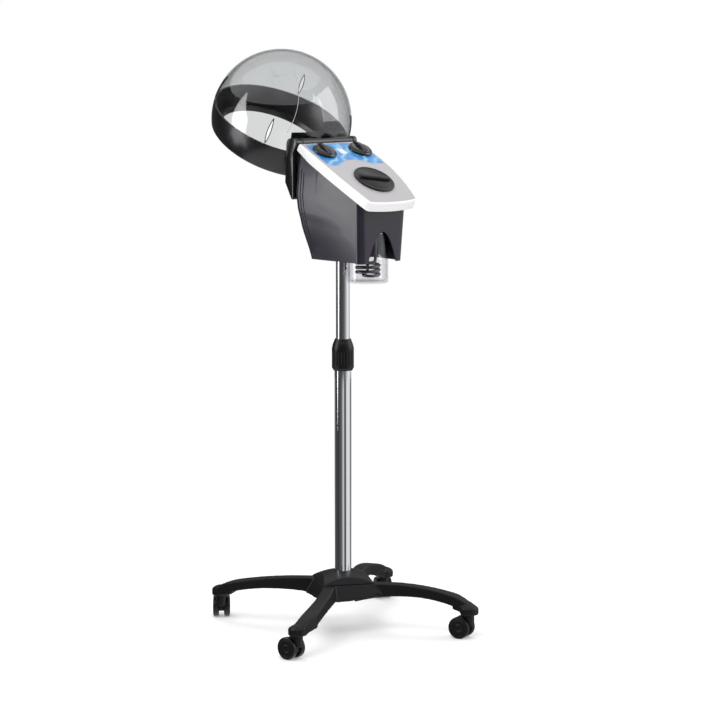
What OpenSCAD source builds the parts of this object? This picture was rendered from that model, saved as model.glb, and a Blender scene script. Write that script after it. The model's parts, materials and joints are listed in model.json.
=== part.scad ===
// Hair steamer on a four-legged castor base: a telescopic pole, a control head
// with a clear water jar, and a smoked hood that flips up on the head.
// Millimetres, +Z up, origin on the floor under the pole, the hood toward +Y.

/* [Base] */
// Distance from the pole to each castor's swivel axis
base_r = 300; // [270:5:340]
// Turn of the four legs about the pole
leg_turn = 30; // [0:5:90]
// Height of the top of a leg at its crest
leg_crest_z = 113.5; // [112:0.5:117]
// Radius of the long arc along the top of a leg
leg_top_arc = 750; // [700:10:850]
// Radius of the arc that bends the top down to the castor
leg_end_arc = 215; // [200:5:240]
// Radius of the arch under a leg
leg_arch = 440; // [420:10:600]
// Height of the crown of the arch under a leg
arch_z = 86; // [83:0.5:88]
// Radius of the sweep of a leg, seen from above
leg_sweep_r = 547; // [450:1:700]
// How far the sweep carries a leg to the side
leg_bow = 15; // [8:0.5:18]
// Half width of a leg along its top
leg_half = 13.5; // [12:0.5:16]
// Widening of each flank from the crest down to the pad
leg_flare = 8.5; // [4:0.5:10]
// Half width of the square hub at its lower edge
hub_half = 81; // [76:1:86]
// Half width of the square hub under its cover
hub_top_half = 59.5; // [56:0.5:64]
// Turn of the square hub against the legs
hub_turn = -12.3; // [-15:0.1:-8]
// Radius of the round pad that a castor stands under
pad_r = 21; // [20:0.5:24]
// Height of the pad's underside above the floor
pad_z = 56; // [54:0.5:60]
// Depth of the pad's straight side
pad_h = 14; // [12:0.5:16]
// Rise of the dome on top of the pad
pad_dome = 9; // [7:0.5:10]

/* [Castors] */
// Diameter of a castor wheel
wheel_d = 50; // [44:1:52]
// Width of one wheel of the twin pair
wheel_w = 12.5; // [10:0.5:14]
// Gap between the twin wheels
wheel_gap = 13; // [12:0.5:16]
// Distance that the wheels trail behind the swivel axis
trail = 19; // [16:1:22]
// Diameter of the castor's steel stem
stem_d = 11; // [8:0.5:12]
// Diameter of the castor's axle
axle_d = 6; // [5:0.5:8]

/* [Pole] */
// Outer diameter of the lower, fixed tube
outer_d = 38; // [36:0.5:40]
// Outer diameter of the upper, sliding tube
inner_d = 31; // [28:0.5:32]
// Wall of both tubes
tube_wall = 1.8; // [1.5:0.1:2.2]
// Height of the top end of the lower tube
outer_top_z = 633; // [600:1:650]
// Outer diameter of the locking collar
collar_d = 50; // [48:1:56]
// Height of the locking collar
collar_h = 72; // [66:1:80]
// Number of grip flutes round the collar
flutes = 18; // [12:2:30]
// Length of the upper tube
inner_len = 622; // [600:2:640]

/* [Head housing] */
// Rake of the control panel and of the hood's rim
rake = 28.5; // [26:0.5:30]
// Height of the housing's lower edge
box_z = 850; // [845:1:853]
// Half width of the housing at its lower edge
box_half = 70; // [66:1:72]
// Place of the housing's lower front edge in front of the pole
box_front = 118; // [114:1:120]
// Place of the housing's lower back edge behind the pole
box_back = 30; // [28:1:34]
// Wall of the moulded housing
box_wall = 3.5; // [3:0.25:4]
// Half width of the arched cut-out at its foot
arch_half = 41; // [38:1:44]
// Height of the arched cut-out
arch_h = 67; // [62:1:70]

/* [Control panel] */
// Height of the panel's back edge
panel_z = 1107; // [1103:1:1111]
// Place of the panel's back edge behind the pole
panel_y = 49; // [47:0.5:49.5]
// Length of the panel along its slope
panel_len = 256; // [250:1:260]
// Half width of the panel where it is widest
panel_half = 90; // [88:0.5:92]
// Radius of the bulging long sides
panel_side_r = 650; // [600:10:800]
// Rise of the crown along the panel
crown = 6; // [4:0.5:8]
// Depth of the panel's turned-down rim
rim_h = 19; // [16:0.5:22]
// Thickness of the panel's wall
panel_wall = 3.2; // [2.5:0.1:4]
// Diameter of a control knob
knob_d = 56; // [50:1:58]
// Height of a control knob's body
knob_h = 9; // [7:0.5:12]
// Half the distance between the two knobs
knob_x = 52; // [50:0.5:54]
// Distance of the knobs from the panel's back edge
knob_v = 48; // [44:1:52]
// Diameter of the filler cap
cap_d = 94; // [88:1:98]
// Distance of the filler cap from the panel's back edge
cap_v = 172; // [168:1:176]
// Inner radius of the filler neck
neck_r = 34; // [30:0.5:35]

/* [Water jar and boiler] */
// Outer radius of the clear jar
jar_r = 45.8; // [44:0.2:46]
// Wall of the jar
jar_wall = 3; // [2.5:0.25:4]
// Distance of the jar's axis in front of the pole
jar_y = 84; // [82:0.5:85]
// Height of the jar's floor
jar_z = 802; // [795:1:808]
// Length of the jar
jar_len = 141; // [138:1:144]
// Radius of the heating coil's turns
coil_r = 26; // [20:1:30]
// Radius of the heating tube
coil_tube_r = 3.25; // [2.5:0.25:3.75]
// Number of turns of the heating coil
coil_turns = 3; // [2:1:4]
// Rise of the heating coil in each turn
coil_pitch = 10; // [9:0.5:12]
// Outer radius of the steam pipe
steam_r = 6; // [5:0.25:6.5]
// Height of the steam port behind the housing
port_z = 1054; // [1053:0.5:1055]

/* [Hood] */
// Outer radius of the hood
hood_r = 160; // [158:0.5:161]
// Distance of the hood's near side behind the pole
hood_near = 54; // [53:0.5:56]
// Height of the hood's centre
hood_z = 1152; // [1149:0.5:1155]
// Wall of the clear dome
dome_wall = 3; // [2.5:0.25:3.5]
// Wall of the black skirt
skirt_wall = 4; // [3.5:0.25:4.5]
// Depth of the skirt below the rim
skirt_h = 61; // [54:1:66]
// Extra tilt of the skirt's lower edge
skirt_tilt = 3; // [0:0.5:4]
// Inner radius of the drip channel
channel_r = 128; // [122:1:134]
// Height of the drip channel's inner wall
channel_h = 14; // [8:1:18]
// Length of a vent slit in the dome
slit_len = 58; // [46:1:60]
// Width of a vent slit
slit_w = 8; // [5:0.5:10]
// Angle from the head to each nearer slit
slit_turn = 50.4; // [46:0.2:56]

/* [Hood hinge] */
// Distance of the hinge axis behind the pole
hinge_y = 64.5; // [64.5:0.25:65]
// Height of the hinge axis
hinge_z = 1107; // [1106:0.5:1109]
// Radius of the hinge barrel
barrel_r = 10; // [9.5:0.25:10.5]
// Diameter of the hinge pins
pin_d = 7; // [5:0.5:8]
// Half width of the hood bracket
bracket_half = 90; // [88:0.5:92]
// Depth of the hood bracket behind its front face
bracket_depth = 27.5; // [25:0.5:30]
// Height of the hood bracket's lower edge
bracket_z = 981; // [975:1:993]

/* [Hidden] */

$fn = 96;
fine = 0.3;          // gap between faces that meet but don't run on each other
run = 0.15;          // radial running clearance of shafts and sliding tubes
big = 400;

// Base
leg_crest_r = 95;                     // where the top of a leg is level
leg_bow_r = 230;                      // where the sweep is widest
leg_in = 40;
bend_start = base_r - 42;             // where the top bends down to the castor
bend_lean = 15.5;
heel_r = base_r - 38;                 // inner end of the thicker part over the castor
heel_z = 65;
arch_r = 150;                         // where the arch is highest
hub_low_z = 77;
hub_floor_z = 69;
hub_floor_t = 8;
hub_boss_r = 36;
hub_arch = 740;                       // arch under the hub, toward the side of each leg
hub_arch_r = 110;
scoop_r = 70;                         // hollow where the hub runs into the side of a leg
scoop_at = [138, -79.4];
tube_foot_z = hub_floor_z + hub_floor_t;
hub_lean = (hub_half - hub_top_half) / (leg_crest_z - hub_low_z);
cover_dome_r = 160;
cover_z = leg_crest_z + fine;
cover_top = 136;
bolt_r = 5;
castor_turn = [60, 49, 98, 110];      // rest heading of each castor, seen from above
stem_low_z = 34;
stem_in = 16;                         // length of the stem inside the leg
boss_top_gap = 0.8;
web_t = wheel_gap - 1;

// Pole
outer_in = outer_d / 2 - tube_wall;
collar_z = outer_top_z - 37;
collar_lip = 7;
collet_z = outer_top_z + fine;
collet_top = collar_z + collar_h - collar_lip - fine;
socket_low = box_z + 8;
socket_top = 993;
socket_r = 23;
socket_lid = 6;
inner_top = socket_top - socket_lid - 2.5;
inner_low = inner_top - inner_len;
glide_h = 8;

// Panel, in its own raked frame: u across, v down the slope, z off the face
crown_r = pow(panel_len / 2, 2) / (2 * crown) + crown / 2;
front_arc = 400;
corner_r = 12;
label_t = 0.5;
label_inset = 10;
label_low = 106;
label_arch_r = 61;
label_arch_v = 146;
knob_shift = 3;
knob_gap = 1;
switch_w = 36;
switch_d = 30;
shaft_d = 6;
neck_wall = 3;
neck_straight = 28;
neck_cone = 32;
spout_r = 10;
spout_len = 41;
cap_h = 4;
cap_gap = 0.4;
plug_len = 8;
cap_turn = -13;

// Head
// Back corners of the housing up its height: y, height and half width
back_posts = [[53.5, 934, 81], [60, 965, 84.5], [63, 996, 86], [53.5, 1087, 81.5]];
top_half = 81.2;
top_front_half = 60;
groove_r = 1.2;
chassis_z = 953;
chassis_t = 4;
holder_wall = 2.9;
holder_z = jar_z + jar_len - 20;
holder_lid = 8;
steam_x = -18;
steam_y = -52;
bend_r = 20;
gland_x = 46;
gland_y = 14;
gland_bore = 3.6;
gland_len = 14;

// Hood
hood_y = hood_near + hood_r;
lug_in = 68;
lug_w = 12;
lug_r = 8.5;
ear_w = 9;
pin_cover = 4;                        // solid left outside the blind pin holes
screw_x = 45;
tongue_h = 5;
clamp_half = 75;
clamp_top = 1129;
clamp_low = channel_h + 3 - skirt_h;
clamp_t = 4;
rose_r = 12;
strip_half = 90;
strip_lean = 0.393;
skirt_in = hood_r - skirt_wall;
tongue_out = hood_r - dome_wall - fine;
tongue_in = tongue_out - 3.6;
clamp_out = tongue_in - fine;

module about_legs() { for (i = [0:3]) rotate(leg_turn + 90 * i) children(); }
module at_castor(i) {
    rotate(leg_turn + 90 * i) translate([base_r, 0, 0])
        rotate(castor_turn[i] - leg_turn - 90 * i) children();
}
module panel_frame() { translate([0, panel_y, panel_z]) rotate([rake, 0, 0]) children(); }
// On the crowned surface, square to it
module panel_at(u, v) {
    phi = asin((panel_len / 2 - v) / crown_r);
    panel_frame() translate([u, -panel_len / 2, crown - crown_r]) rotate([-phi, 0, 0])
        translate([0, 0, crown_r]) children();
}
module hood_frame() { translate([0, hood_y, hood_z]) rotate([rake, 0, 0]) children(); }
module along_x(r, x0, x1) { translate([x0, 0, 0]) rotate([0, 90, 0]) cylinder(r = r, h = x1 - x0); }
module along_y(r, y0, y1) { translate([0, y0, 0]) rotate([-90, 0, 0]) cylinder(r = r, h = y1 - y0); }
module rod_between(a, b, r) {
    way = b - a;
    translate(a) rotate([0, acos(way.z / norm(way)), atan2(way.y, way.x)])
        cylinder(r = r, h = norm(way), $fn = 24);
}
module ring(r_out, r_in, h) {
    difference() {
        cylinder(r = r_out, h = h);
        translate([0, 0, -1]) cylinder(r = r_in, h = h + 2);
    }
}

// Base
// Height of the top of a leg at a distance from the pole, along its long arc
function leg_surface(s) = leg_crest_z - leg_top_arc + sqrt(pow(leg_top_arc, 2) - pow(s - leg_crest_r, 2));
module leg_beam() {
    difference() {
        intersection() {
            translate([leg_bow_r, leg_bow - leg_sweep_r, 0]) rotate_extrude($fn = 240) polygon([
                [leg_sweep_r - leg_half - leg_flare, pad_z], [leg_sweep_r + leg_half + leg_flare, pad_z],
                [leg_sweep_r + leg_half, leg_crest_z], [leg_sweep_r + leg_half, leg_crest_z + 5],
                [leg_sweep_r - leg_half, leg_crest_z + 5], [leg_sweep_r - leg_half, leg_crest_z]]);
            translate([leg_crest_r, 0, leg_crest_z - leg_top_arc]) rotate([90, 0, 0])
                cylinder(r = leg_top_arc, h = 200, center = true, $fn = 240);
            union() {
                translate([leg_in, -60, 0]) cube([bend_start - 22 - leg_in, 120, leg_crest_z + 10]);
                translate([bend_start - leg_end_arc * sin(bend_lean), 0,
                           leg_surface(bend_start) - leg_end_arc * cos(bend_lean)])
                    rotate([90, 0, 0]) cylinder(r = leg_end_arc, h = 200, center = true, $fn = 240);
            }
            union() {
                linear_extrude(leg_crest_z + 10) polygon([
                    [leg_in, -60], [base_r - 4, -pad_r + 2], [base_r - 4, pad_r - 2],
                    [base_r - 38, pad_r + 13], [base_r - 65, 60], [leg_in, 60]]);
                translate([base_r, 0, 0]) cylinder(r = pad_r - 0.6, h = leg_crest_z + 10);
            }
        }
        intersection() {
            translate([arch_r, 0, arch_z - leg_arch]) rotate([90, 0, 0])
                cylinder(r = leg_arch, h = 160, center = true, $fn = 240);
            translate([0, -90, 0]) cube([heel_r, 180, leg_crest_z]);
        }
        rotate([90, 0, 0]) linear_extrude(160, center = true) polygon([
            [heel_r - 1, 0], [base_r + 40, 0], [base_r + 40, pad_z], [base_r, pad_z],
            [heel_r, heel_z], [heel_r - 1, heel_z]]);
    }
}
module leg_pad() {
    dome_r = (pow(pad_r, 2) + pow(pad_dome, 2)) / (2 * pad_dome);
    translate([base_r, 0, pad_z]) intersection() {
        cylinder(r = pad_r, h = pad_h + pad_dome);
        translate([0, 0, pad_h + pad_dome - dome_r]) sphere(dome_r);
    }
}
// The square hub, wider toward its foot, between two heights
module hub_block(low, high) {
    half_low = hub_half - hub_lean * (low - hub_low_z);
    half_high = hub_half - hub_lean * (high - hub_low_z);
    rotate(leg_turn + hub_turn) translate([0, 0, low])
        cylinder(r1 = half_low * sqrt(2), r2 = half_high * sqrt(2), h = high - low, $fn = 4);
}
module hub_body() {
    difference() {
        hub_block(hub_low_z, leg_crest_z);
        about_legs() {
            translate([hub_arch_r, 14, arch_z - 1 - hub_arch]) rotate([90, 0, 0])
                cylinder(r = hub_arch, h = 120, $fn = 240);
            translate([scoop_at.x, scoop_at.y, 0]) cylinder(r = scoop_r, h = leg_crest_z + 10);
        }
    }
}
module base_frame() {
    color("#26252a") difference() {
        union() {
            about_legs() { leg_beam(); leg_pad(); }
            hub_body();
            translate([0, 0, hub_floor_z]) cylinder(r = hub_boss_r, h = 20);
        }
        translate([0, 0, tube_foot_z]) cylinder(d = outer_d + 2 * run, h = 100);
        translate([0, 0, hub_floor_z - 20]) cylinder(r = bolt_r + run, h = 40);
        translate([0, 0, 0]) cylinder(r = 15, h = hub_floor_z);
        about_legs() translate([base_r, 0, 0])
            cylinder(d = stem_d + 2 * run, h = pad_z + stem_in + 1);
    }
}
module hub_cover() {
    color("#2b2a2f") difference() {
        intersection() {
            hub_block(cover_z, cover_top + 10);
            translate([0, 0, cover_top - sqrt(pow(cover_dome_r, 2) - pow(outer_d / 2, 2))])
                sphere(cover_dome_r);
        }
        translate([0, 0, cover_z - 1]) cylinder(d = outer_d + 2 * fine, h = 60);
        translate([0, 0, cover_z - 1]) cylinder(r = 40, h = 4);
    }
}
module hub_bolt() {
    color("#8d9094") {
        translate([0, 0, hub_floor_z - 6.5]) cylinder(r = 8.5, h = 6.5, $fn = 6);
        translate([0, 0, hub_floor_z - 1]) cylinder(r = bolt_r, h = 30);
    }
}

// Castors
module castor_stem(i) {
    color("#9b9da1") at_castor(i) translate([0, 0, stem_low_z])
        cylinder(d = stem_d, h = pad_z - stem_low_z + stem_in);
}
module castor_housing(i) {
    boss_r = stem_d / 2 + 6;
    color("#1d1d20") at_castor(i) difference() {
        union() {
            translate([0, 0, 30]) cylinder(r = boss_r, h = pad_z - 30 - boss_top_gap);
            translate([0, web_t / 2, 0]) rotate([90, 0, 0]) linear_extrude(web_t) union() {
                translate([trail, wheel_d / 2]) circle(9);
                translate([0, 17]) square([trail + 4, 26]);
                translate([-boss_r + 3, 30]) square([boss_r, 18]);
                translate([trail, wheel_d / 2 + 3]) circle(16);
            }
        }
        translate([0, 0, stem_low_z]) cylinder(d = stem_d, h = 40);
        translate([trail, 0, wheel_d / 2]) rotate([90, 0, 0])
            cylinder(d = axle_d + 2 * run, h = 60, center = true);
        for (s = [-1, 1]) translate([trail, s * (web_t / 2 + 0.01), wheel_d / 2])
            rotate([-90 * s, 0, 0]) cylinder(d = wheel_d + 2, h = 30);
    }
}
module castor_wheels(i) {
    inner = wheel_gap / 2;
    color("#151517") at_castor(i) translate([trail, 0, wheel_d / 2]) rotate([90, 0, 0]) {
        for (s = [0, 1]) mirror([0, 0, s]) translate([0, 0, inner]) rotate_extrude()
            polygon([[axle_d / 2 - 0.5, 0], [wheel_d / 2 - 1.5, 0], [wheel_d / 2, 1.5],
                     [wheel_d / 2, wheel_w - 2.5], [wheel_d / 2 - 2.5, wheel_w],
                     [wheel_d / 2 - 6, wheel_w], [wheel_d / 2 - 7, wheel_w - 1],
                     [7, wheel_w - 1], [6, wheel_w], [0, wheel_w], [0, 2]]);
        cylinder(d = axle_d, h = 2 * inner + 6, center = true);
    }
}

// Pole
module outer_tube() {
    color("#c9ccd0") translate([0, 0, tube_foot_z])
        ring(outer_d / 2, outer_in, outer_top_z - tube_foot_z);
}
module tube_foot_plug() {
    color("#77797d") difference() {
        translate([0, 0, tube_foot_z]) cylinder(r = outer_in, h = 30);
        translate([0, 0, tube_foot_z - 1]) cylinder(r = bolt_r, h = 24);
    }
}
module collet() {
    color("#d8d8d4") translate([0, 0, collet_z]) difference() {
        ring(outer_d / 2 - 0.2, inner_d / 2 + run, collet_top - collet_z);
        for (a = [0:60:300]) rotate(a) translate([0, -1, 5]) cube([30, 2, 40]);
    }
}
module lock_collar() {
    color("#2a292c") translate([0, 0, collar_z]) difference() {
        rotate_extrude() polygon([
            [outer_d / 2 + run, 0], [collar_d / 2 - 5, 0], [collar_d / 2, 7],
            [collar_d / 2, collar_h - 24], [collar_d / 2 - 2.5, collar_h - 12],
            [inner_d / 2 + 2, collar_h], [inner_d / 2 + 2 * run, collar_h],
            [inner_d / 2 + 2 * run, collar_h - collar_lip],
            [outer_d / 2 + run, collar_h - collar_lip]]);
        for (a = [0:360 / flutes:359]) rotate(a)
            translate([collar_d / 2 + 0.4, 0, 9]) cylinder(r = 1.5, h = collar_h - 35, $fn = 24);
    }
}
module inner_tube() {
    color("#d5d8dc") translate([0, 0, inner_low])
        ring(inner_d / 2, inner_d / 2 - tube_wall, inner_len);
}
module tube_glide() {
    color("#e4e3dc") {
        translate([0, 0, inner_low - glide_h]) cylinder(r = outer_in - run, h = glide_h);
        translate([0, 0, inner_low - 1]) cylinder(r = inner_d / 2 - tube_wall, h = 20);
    }
}
module tube_top_plug() {
    color("#77797d") difference() {
        translate([0, 0, inner_top - 25]) cylinder(r = inner_d / 2 - tube_wall, h = 25);
        translate([0, 0, inner_top - 20]) cylinder(r = 3, h = 30);
    }
}
module swivel_washer() {
    color("#e9e8e0") translate([0, 0, inner_top]) ring(inner_d / 2, 3 + run, 2.3);
}
module pivot_bolt() {
    color("#8d9094") {
        translate([0, 0, inner_top - 20]) cylinder(r = 3, h = socket_top - inner_top + 20 + 1);
        translate([0, 0, socket_top + fine]) cylinder(r = 7, h = 5);
    }
}

// Head housing
module panel_outline() {
    side = panel_side_r - panel_half;
    offset(r = corner_r, $fn = 48) offset(delta = -corner_r) intersection() {
        translate([-side, -85]) circle(panel_side_r, $fn = 360);
        translate([side, -85]) circle(panel_side_r, $fn = 360);
        translate([0, front_arc - panel_len]) circle(front_arc, $fn = 240);
        translate([-big / 2, -big]) square([big, big + 40]);
    }
}
module crown_solid(drop) {
    translate([0, -panel_len / 2, crown - crown_r]) rotate([0, 90, 0])
        cylinder(r = crown_r - drop, h = big, center = true, $fn = 720);
}
module box_bottom_outline(inset) {
    r_front = 25 - inset / 2;
    r_back = 8;
    half = box_half - inset;
    hull() {
        for (s = [-1, 1]) {
            translate([s * (half - r_front), -box_front + inset + r_front])
                circle(r_front, $fn = 48);
            translate([s * (half - r_back), box_back - inset - r_back]) circle(r_back, $fn = 24);
        }
    }
}
module box_top_outline(inset) {
    back = panel_wall + 1.3 + inset;
    r = 24 - inset / 2;
    for (s = [-1, 1]) {
        translate([s * (top_half - inset - 8), -back - 8]) circle(8, $fn = 24);
        translate([s * (panel_half - 5.5 - inset - 40), -90]) circle(40, $fn = 48);
        translate([s * (top_front_half - inset - r), -panel_len + 20 + inset + r]) circle(r, $fn = 48);
    }
}
// The housing's outer form, or its hollow where inset is the wall
module box_form(inset, low) {
    hull() {
        translate([0, 0, box_z - low]) linear_extrude(0.5) box_bottom_outline(inset);
        panel_frame() translate([0, 0, -1]) linear_extrude(1) box_top_outline(inset);
        for (post = back_posts, s = [-1, 1])
            translate([s * (post[2] - inset - 6), post[0] - inset - 6, post[1]])
                cylinder(r = 6, h = 0.5, $fn = 24);
    }
}
module head_housing() {
    color("#4a4750") difference() {
        intersection() {
            box_form(0, 0);
            panel_frame() crown_solid(panel_wall + fine);
        }
        box_form(box_wall, 2);
        arch_cut();
        translate([steam_x, 0, port_z]) along_y(steam_r + run, 20, 60);
        for (i = [0:2]) groove(i);
    }
}
module arch_cut() {
    // A parabola, from its foot up to the apex
    translate([0, -60, box_z]) rotate([90, 0, 0]) linear_extrude(120) polygon(concat(
        [[arch_half, -5], [-arch_half, -5]],
        [for (t = [-1:0.1:1.01]) [arch_half * t, arch_h * (1 - t * t)]]));
}
module groove(i) {
    // Three shallow lines beside the back edge of each side wall
    for (s = [-1, 1])
        rod_between([s * (box_half + 0.4), 14 - 7 * i, box_z + 8],
                    [s * (top_half + 3.2 - 0.6 * i), 26 - 9 * i, 1053], groove_r);
}
module chassis_plate() {
    color("#8b8e92") difference() {
        intersection() {
            box_form(box_wall + fine, 2);
            translate([-big / 2, -big / 2, chassis_z]) cube([big, big, chassis_t]);
        }
        translate([0, 0, chassis_z - 1]) cylinder(r = socket_r, h = 10);
        panel_at(0, cap_v) translate([0, 0, -120]) cylinder(r = spout_r + 1, h = 80);
        translate([steam_x, steam_y, chassis_z - 1]) cylinder(r = steam_r + run, h = 10);
        for (y = [0, -coil_r]) translate([0, y - jar_y, chassis_z - 1])
            cylinder(r = coil_tube_r + fine, h = 10);
    }
}
module pole_socket() {
    color("#5d5f63") difference() {
        union() {
            translate([0, 0, socket_low]) cylinder(r = socket_r - run, h = socket_top - socket_low);
            translate([0, 0, chassis_z + chassis_t]) cylinder(r = socket_r + 8, h = 5);
        }
        translate([0, 0, socket_low - 1])
            cylinder(d = inner_d + 2 * run, h = socket_top - socket_lid - socket_low + 1);
        translate([0, 0, socket_low]) cylinder(r = 3 + run, h = 200);
    }
}
module bottom_cover() {
    color("#3a383e") difference() {
        intersection() {
            box_form(box_wall + fine, 2);
            translate([-big / 2, -30, box_z]) cube([big, big / 2, 3]);
        }
        translate([0, 0, box_z - 1]) cylinder(d = inner_d + 6, h = 10);
        translate([gland_x, gland_y, box_z - 1]) cylinder(r = 7.5 + run, h = 10);
        translate([0, -jar_y, box_z - 1]) cylinder(r = jar_r + 4, h = 10);
    }
}
module cable_gland() {
    color("#19191b") translate([gland_x, gland_y, box_z]) difference() {
        union() {
            translate([0, 0, -9]) cylinder(r = 9.5, h = 9, $fn = 6);
            translate([0, 0, -9]) cylinder(r = 7.5, h = gland_len + 6);
            translate([0, 0, 3 + fine]) cylinder(r = 10, h = 4, $fn = 6);
        }
        translate([0, 0, -20]) cylinder(r = gland_bore, h = 60);
    }
}

// Control panel
module in_front_of(inset) {
    translate([-big / 2, -inset - big, -big / 2]) cube(big);
}
module knob_at(s) { panel_at(knob_shift + s * knob_x, knob_v) children(); }
module control_panel() {
    color("#b9b6b8") difference() {
        panel_frame() intersection() {
            translate([0, 0, -60]) linear_extrude(80) panel_outline();
            crown_solid(0);
            in_front_of(0);
        }
        panel_frame() crown_solid(rim_h);
        panel_frame() intersection() {
            translate([0, 0, -70]) linear_extrude(90) offset(delta = -panel_wall) panel_outline();
            crown_solid(panel_wall);
            in_front_of(panel_wall);
        }
        for (s = [-1, 1]) knob_at(s) translate([0, 0, -30]) cylinder(d = shaft_d + 4, h = 60);
        panel_at(0, cap_v) translate([0, 0, -30]) cylinder(r = neck_r + neck_wall + run, h = 60);
    }
}
module panel_label() {
    color("#3f8fd2") panel_frame() difference() {
        intersection() {
            translate([0, 0, -20]) linear_extrude(40) intersection() {
                offset(delta = -label_inset) panel_outline();
                translate([-big / 2, -label_low]) square([big, label_low - 3]);
            }
            crown_solid(-label_t);
        }
        crown_solid(-0.02);
        translate([0, -label_arch_v, -30]) cylinder(r = label_arch_r, h = 60);
        for (s = [-1, 1]) translate([knob_shift + s * knob_x, -knob_v, -30])
            cylinder(d = shaft_d + 6, h = 60);
    }
}
module knob_switch(s) {
    top = -panel_wall - fine;
    knob_at(s) difference() {
        union() {
            translate([-switch_w / 2, -switch_w / 2, -switch_d])
                cube([switch_w, switch_w, switch_d + top]);
            translate([0, 0, top - 1]) cylinder(d = shaft_d + 3.4, h = 1 - top);
        }
        translate([0, 0, -14]) cylinder(d = shaft_d + 2 * run, h = 40);
    }
}
module timer_switch() { color("#dedad0") knob_switch(-1); }
module steam_switch() { color("#dedad0") knob_switch(1); }
module control_knob(s) {
    color("#141416") knob_at(s) {
        translate([0, 0, knob_gap]) rotate_extrude() polygon([
            [0, 0], [knob_d / 2 - 3, 0], [knob_d / 2, 1], [knob_d / 2, 3],
            [knob_d / 2 - 4, knob_h - 2], [knob_d / 2 - 9, knob_h], [0, knob_h]]);
        translate([0, 0, knob_gap]) intersection() {
            translate([-6, -knob_d / 2 + 2.5, 2]) cube([12, knob_d - 5, knob_h + 5]);
            translate([0, 0, knob_h + 6 - 60]) sphere(60);
        }
        translate([0, 0, -12]) cylinder(d = shaft_d, h = 12 + knob_h / 2);
    }
}
module timer_knob() { control_knob(-1); }
module steam_knob() { control_knob(1); }

// Filler
module filler_neck() {
    color("#7c7f84") panel_at(0, cap_v) rotate_extrude() {
        low = -neck_straight;
        cone = low - neck_cone;
        polygon([
            [neck_r, -fine], [neck_r + neck_wall, -fine], [neck_r + neck_wall, low],
            [spout_r, cone], [spout_r, cone - spout_len], [spout_r - 2, cone - spout_len],
            [spout_r - 2, cone + 1], [neck_r, low + 1.5]]);
    }
}
module filler_cap() {
    color("#232226") panel_at(0, cap_v) {
        translate([0, 0, cap_gap]) cylinder(d = cap_d, h = cap_h);
        translate([0, 0, cap_gap - plug_len]) cylinder(r = neck_r - 3, h = plug_len + 1);
        rotate(cap_turn) translate([-cap_d / 2 + 8, -6, cap_gap + cap_h - 1])
            cube([cap_d - 16, 12, 8]);
    }
}
module filler_seal() {
    color("#6b6b6e") panel_at(0, cap_v) translate([0, 0, -4]) rotate_extrude()
        translate([neck_r - 1.6, 0]) circle(r = 1.3, $fn = 24);
}

// Jar and boiler
module jar_holder() {
    lid_z = jar_z + jar_len + 2;
    color("#1f1f22") translate([0, -jar_y, 0]) difference() {
        translate([0, 0, holder_z]) cylinder(r = jar_r + fine + holder_wall, h = chassis_z - holder_z);
        translate([0, 0, holder_z - 1]) cylinder(r = jar_r + fine, h = lid_z - holder_z + 1);
        translate([0, jar_y, 0]) panel_at(0, cap_v) translate([0, 0, -130])
            cylinder(r = spout_r + fine, h = 90);
        translate([steam_x, steam_y + jar_y, 900]) cylinder(r = steam_r + run, h = 100);
        for (y = [0, -coil_r]) translate([0, y, 900]) cylinder(r = coil_tube_r, h = 100);
    }
}
module jar_gasket() {
    color("#8f8a85") translate([0, -jar_y, jar_z + jar_len]) ring(jar_r, jar_r - jar_wall, 1.9);
}
module water_jar() {
    foot = 5;
    color([0.85, 0.87, 0.9, 0.35]) translate([0, -jar_y, jar_z]) rotate_extrude() difference() {
        union() {
            translate([0, foot]) square([jar_r, jar_len - foot]);
            square([jar_r - foot, 2 * foot]);
            translate([jar_r - foot, foot]) circle(foot);
        }
        translate([-1, jar_wall + 1]) square([jar_r - jar_wall + 1, jar_len]);
        translate([-2 * jar_r, -1]) square([2 * jar_r, jar_len + 2]);
    }
}

function unit(v) = v / norm(v);
function heading(p, i) = unit(p[min(i + 1, len(p) - 1)] - p[max(i - 1, 0)]);
// A frame at each point that doesn't twist about the path
function frames(p, i = 0, last = [1, 0, 0]) = i == len(p) ? [] :
    let (t = heading(p, i), n = unit(last - (last * t) * t))
    concat([[n, cross(t, n)]], frames(p, i + 1, n));

module swept_tube(p, r, sides) {
    f = frames(p);
    last = len(p) - 1;
    points = [for (i = [0:last], k = [0:sides - 1]) let (a = 360 * k / sides)
        p[i] + r * (cos(a) * f[i][0] + sin(a) * f[i][1])];
    walls = [for (i = [0:last - 1], k = [0:sides - 1])
        let (a = i * sides + k, b = i * sides + (k + 1) % sides)
        each [[a, b, b + sides], [a, b + sides, a + sides]]];
    polyhedron(points, concat(walls, [
        [for (k = [sides - 1:-1:0]) k], [for (k = [0:sides - 1]) last * sides + k]]));
}

// Down the middle, out to the turns, up them, and up the outer leg
coil_low = jar_z + 16;
coil_top = coil_low + coil_pitch * coil_turns;
coil_start = -105 - 360 * coil_turns;
leg_top = chassis_z + chassis_t + 8;
coil_path = concat(
    [[0, 0, leg_top], [0, 0, coil_low + 14]],
    [for (t = [0:0.125:0.99]) let (a = coil_start - 150 * (1 - t), r = coil_r * t * t * (3 - 2 * t))
        [r * cos(a), r * sin(a), coil_low + 9 * pow(1 - t, 2)]],
    [for (a = [0:15:360 * coil_turns]) [
        coil_r * cos(coil_start + a), coil_r * sin(coil_start + a),
        coil_low + coil_pitch * a / 360]],
    [for (q = [30:30:90]) [
        coil_r * cos(-105 + 15 * sin(q)), coil_r * sin(-105 + 15 * sin(q)),
        coil_top + 7 * (1 - cos(q))]],
    [[0, -coil_r, leg_top]]);
coil_gap = min([for (i = [0:len(coil_path) - 1], k = [i + 6:1:len(coil_path) - 1])
    norm(coil_path[i] - coil_path[k])]) - 2 * coil_tube_r;
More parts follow.
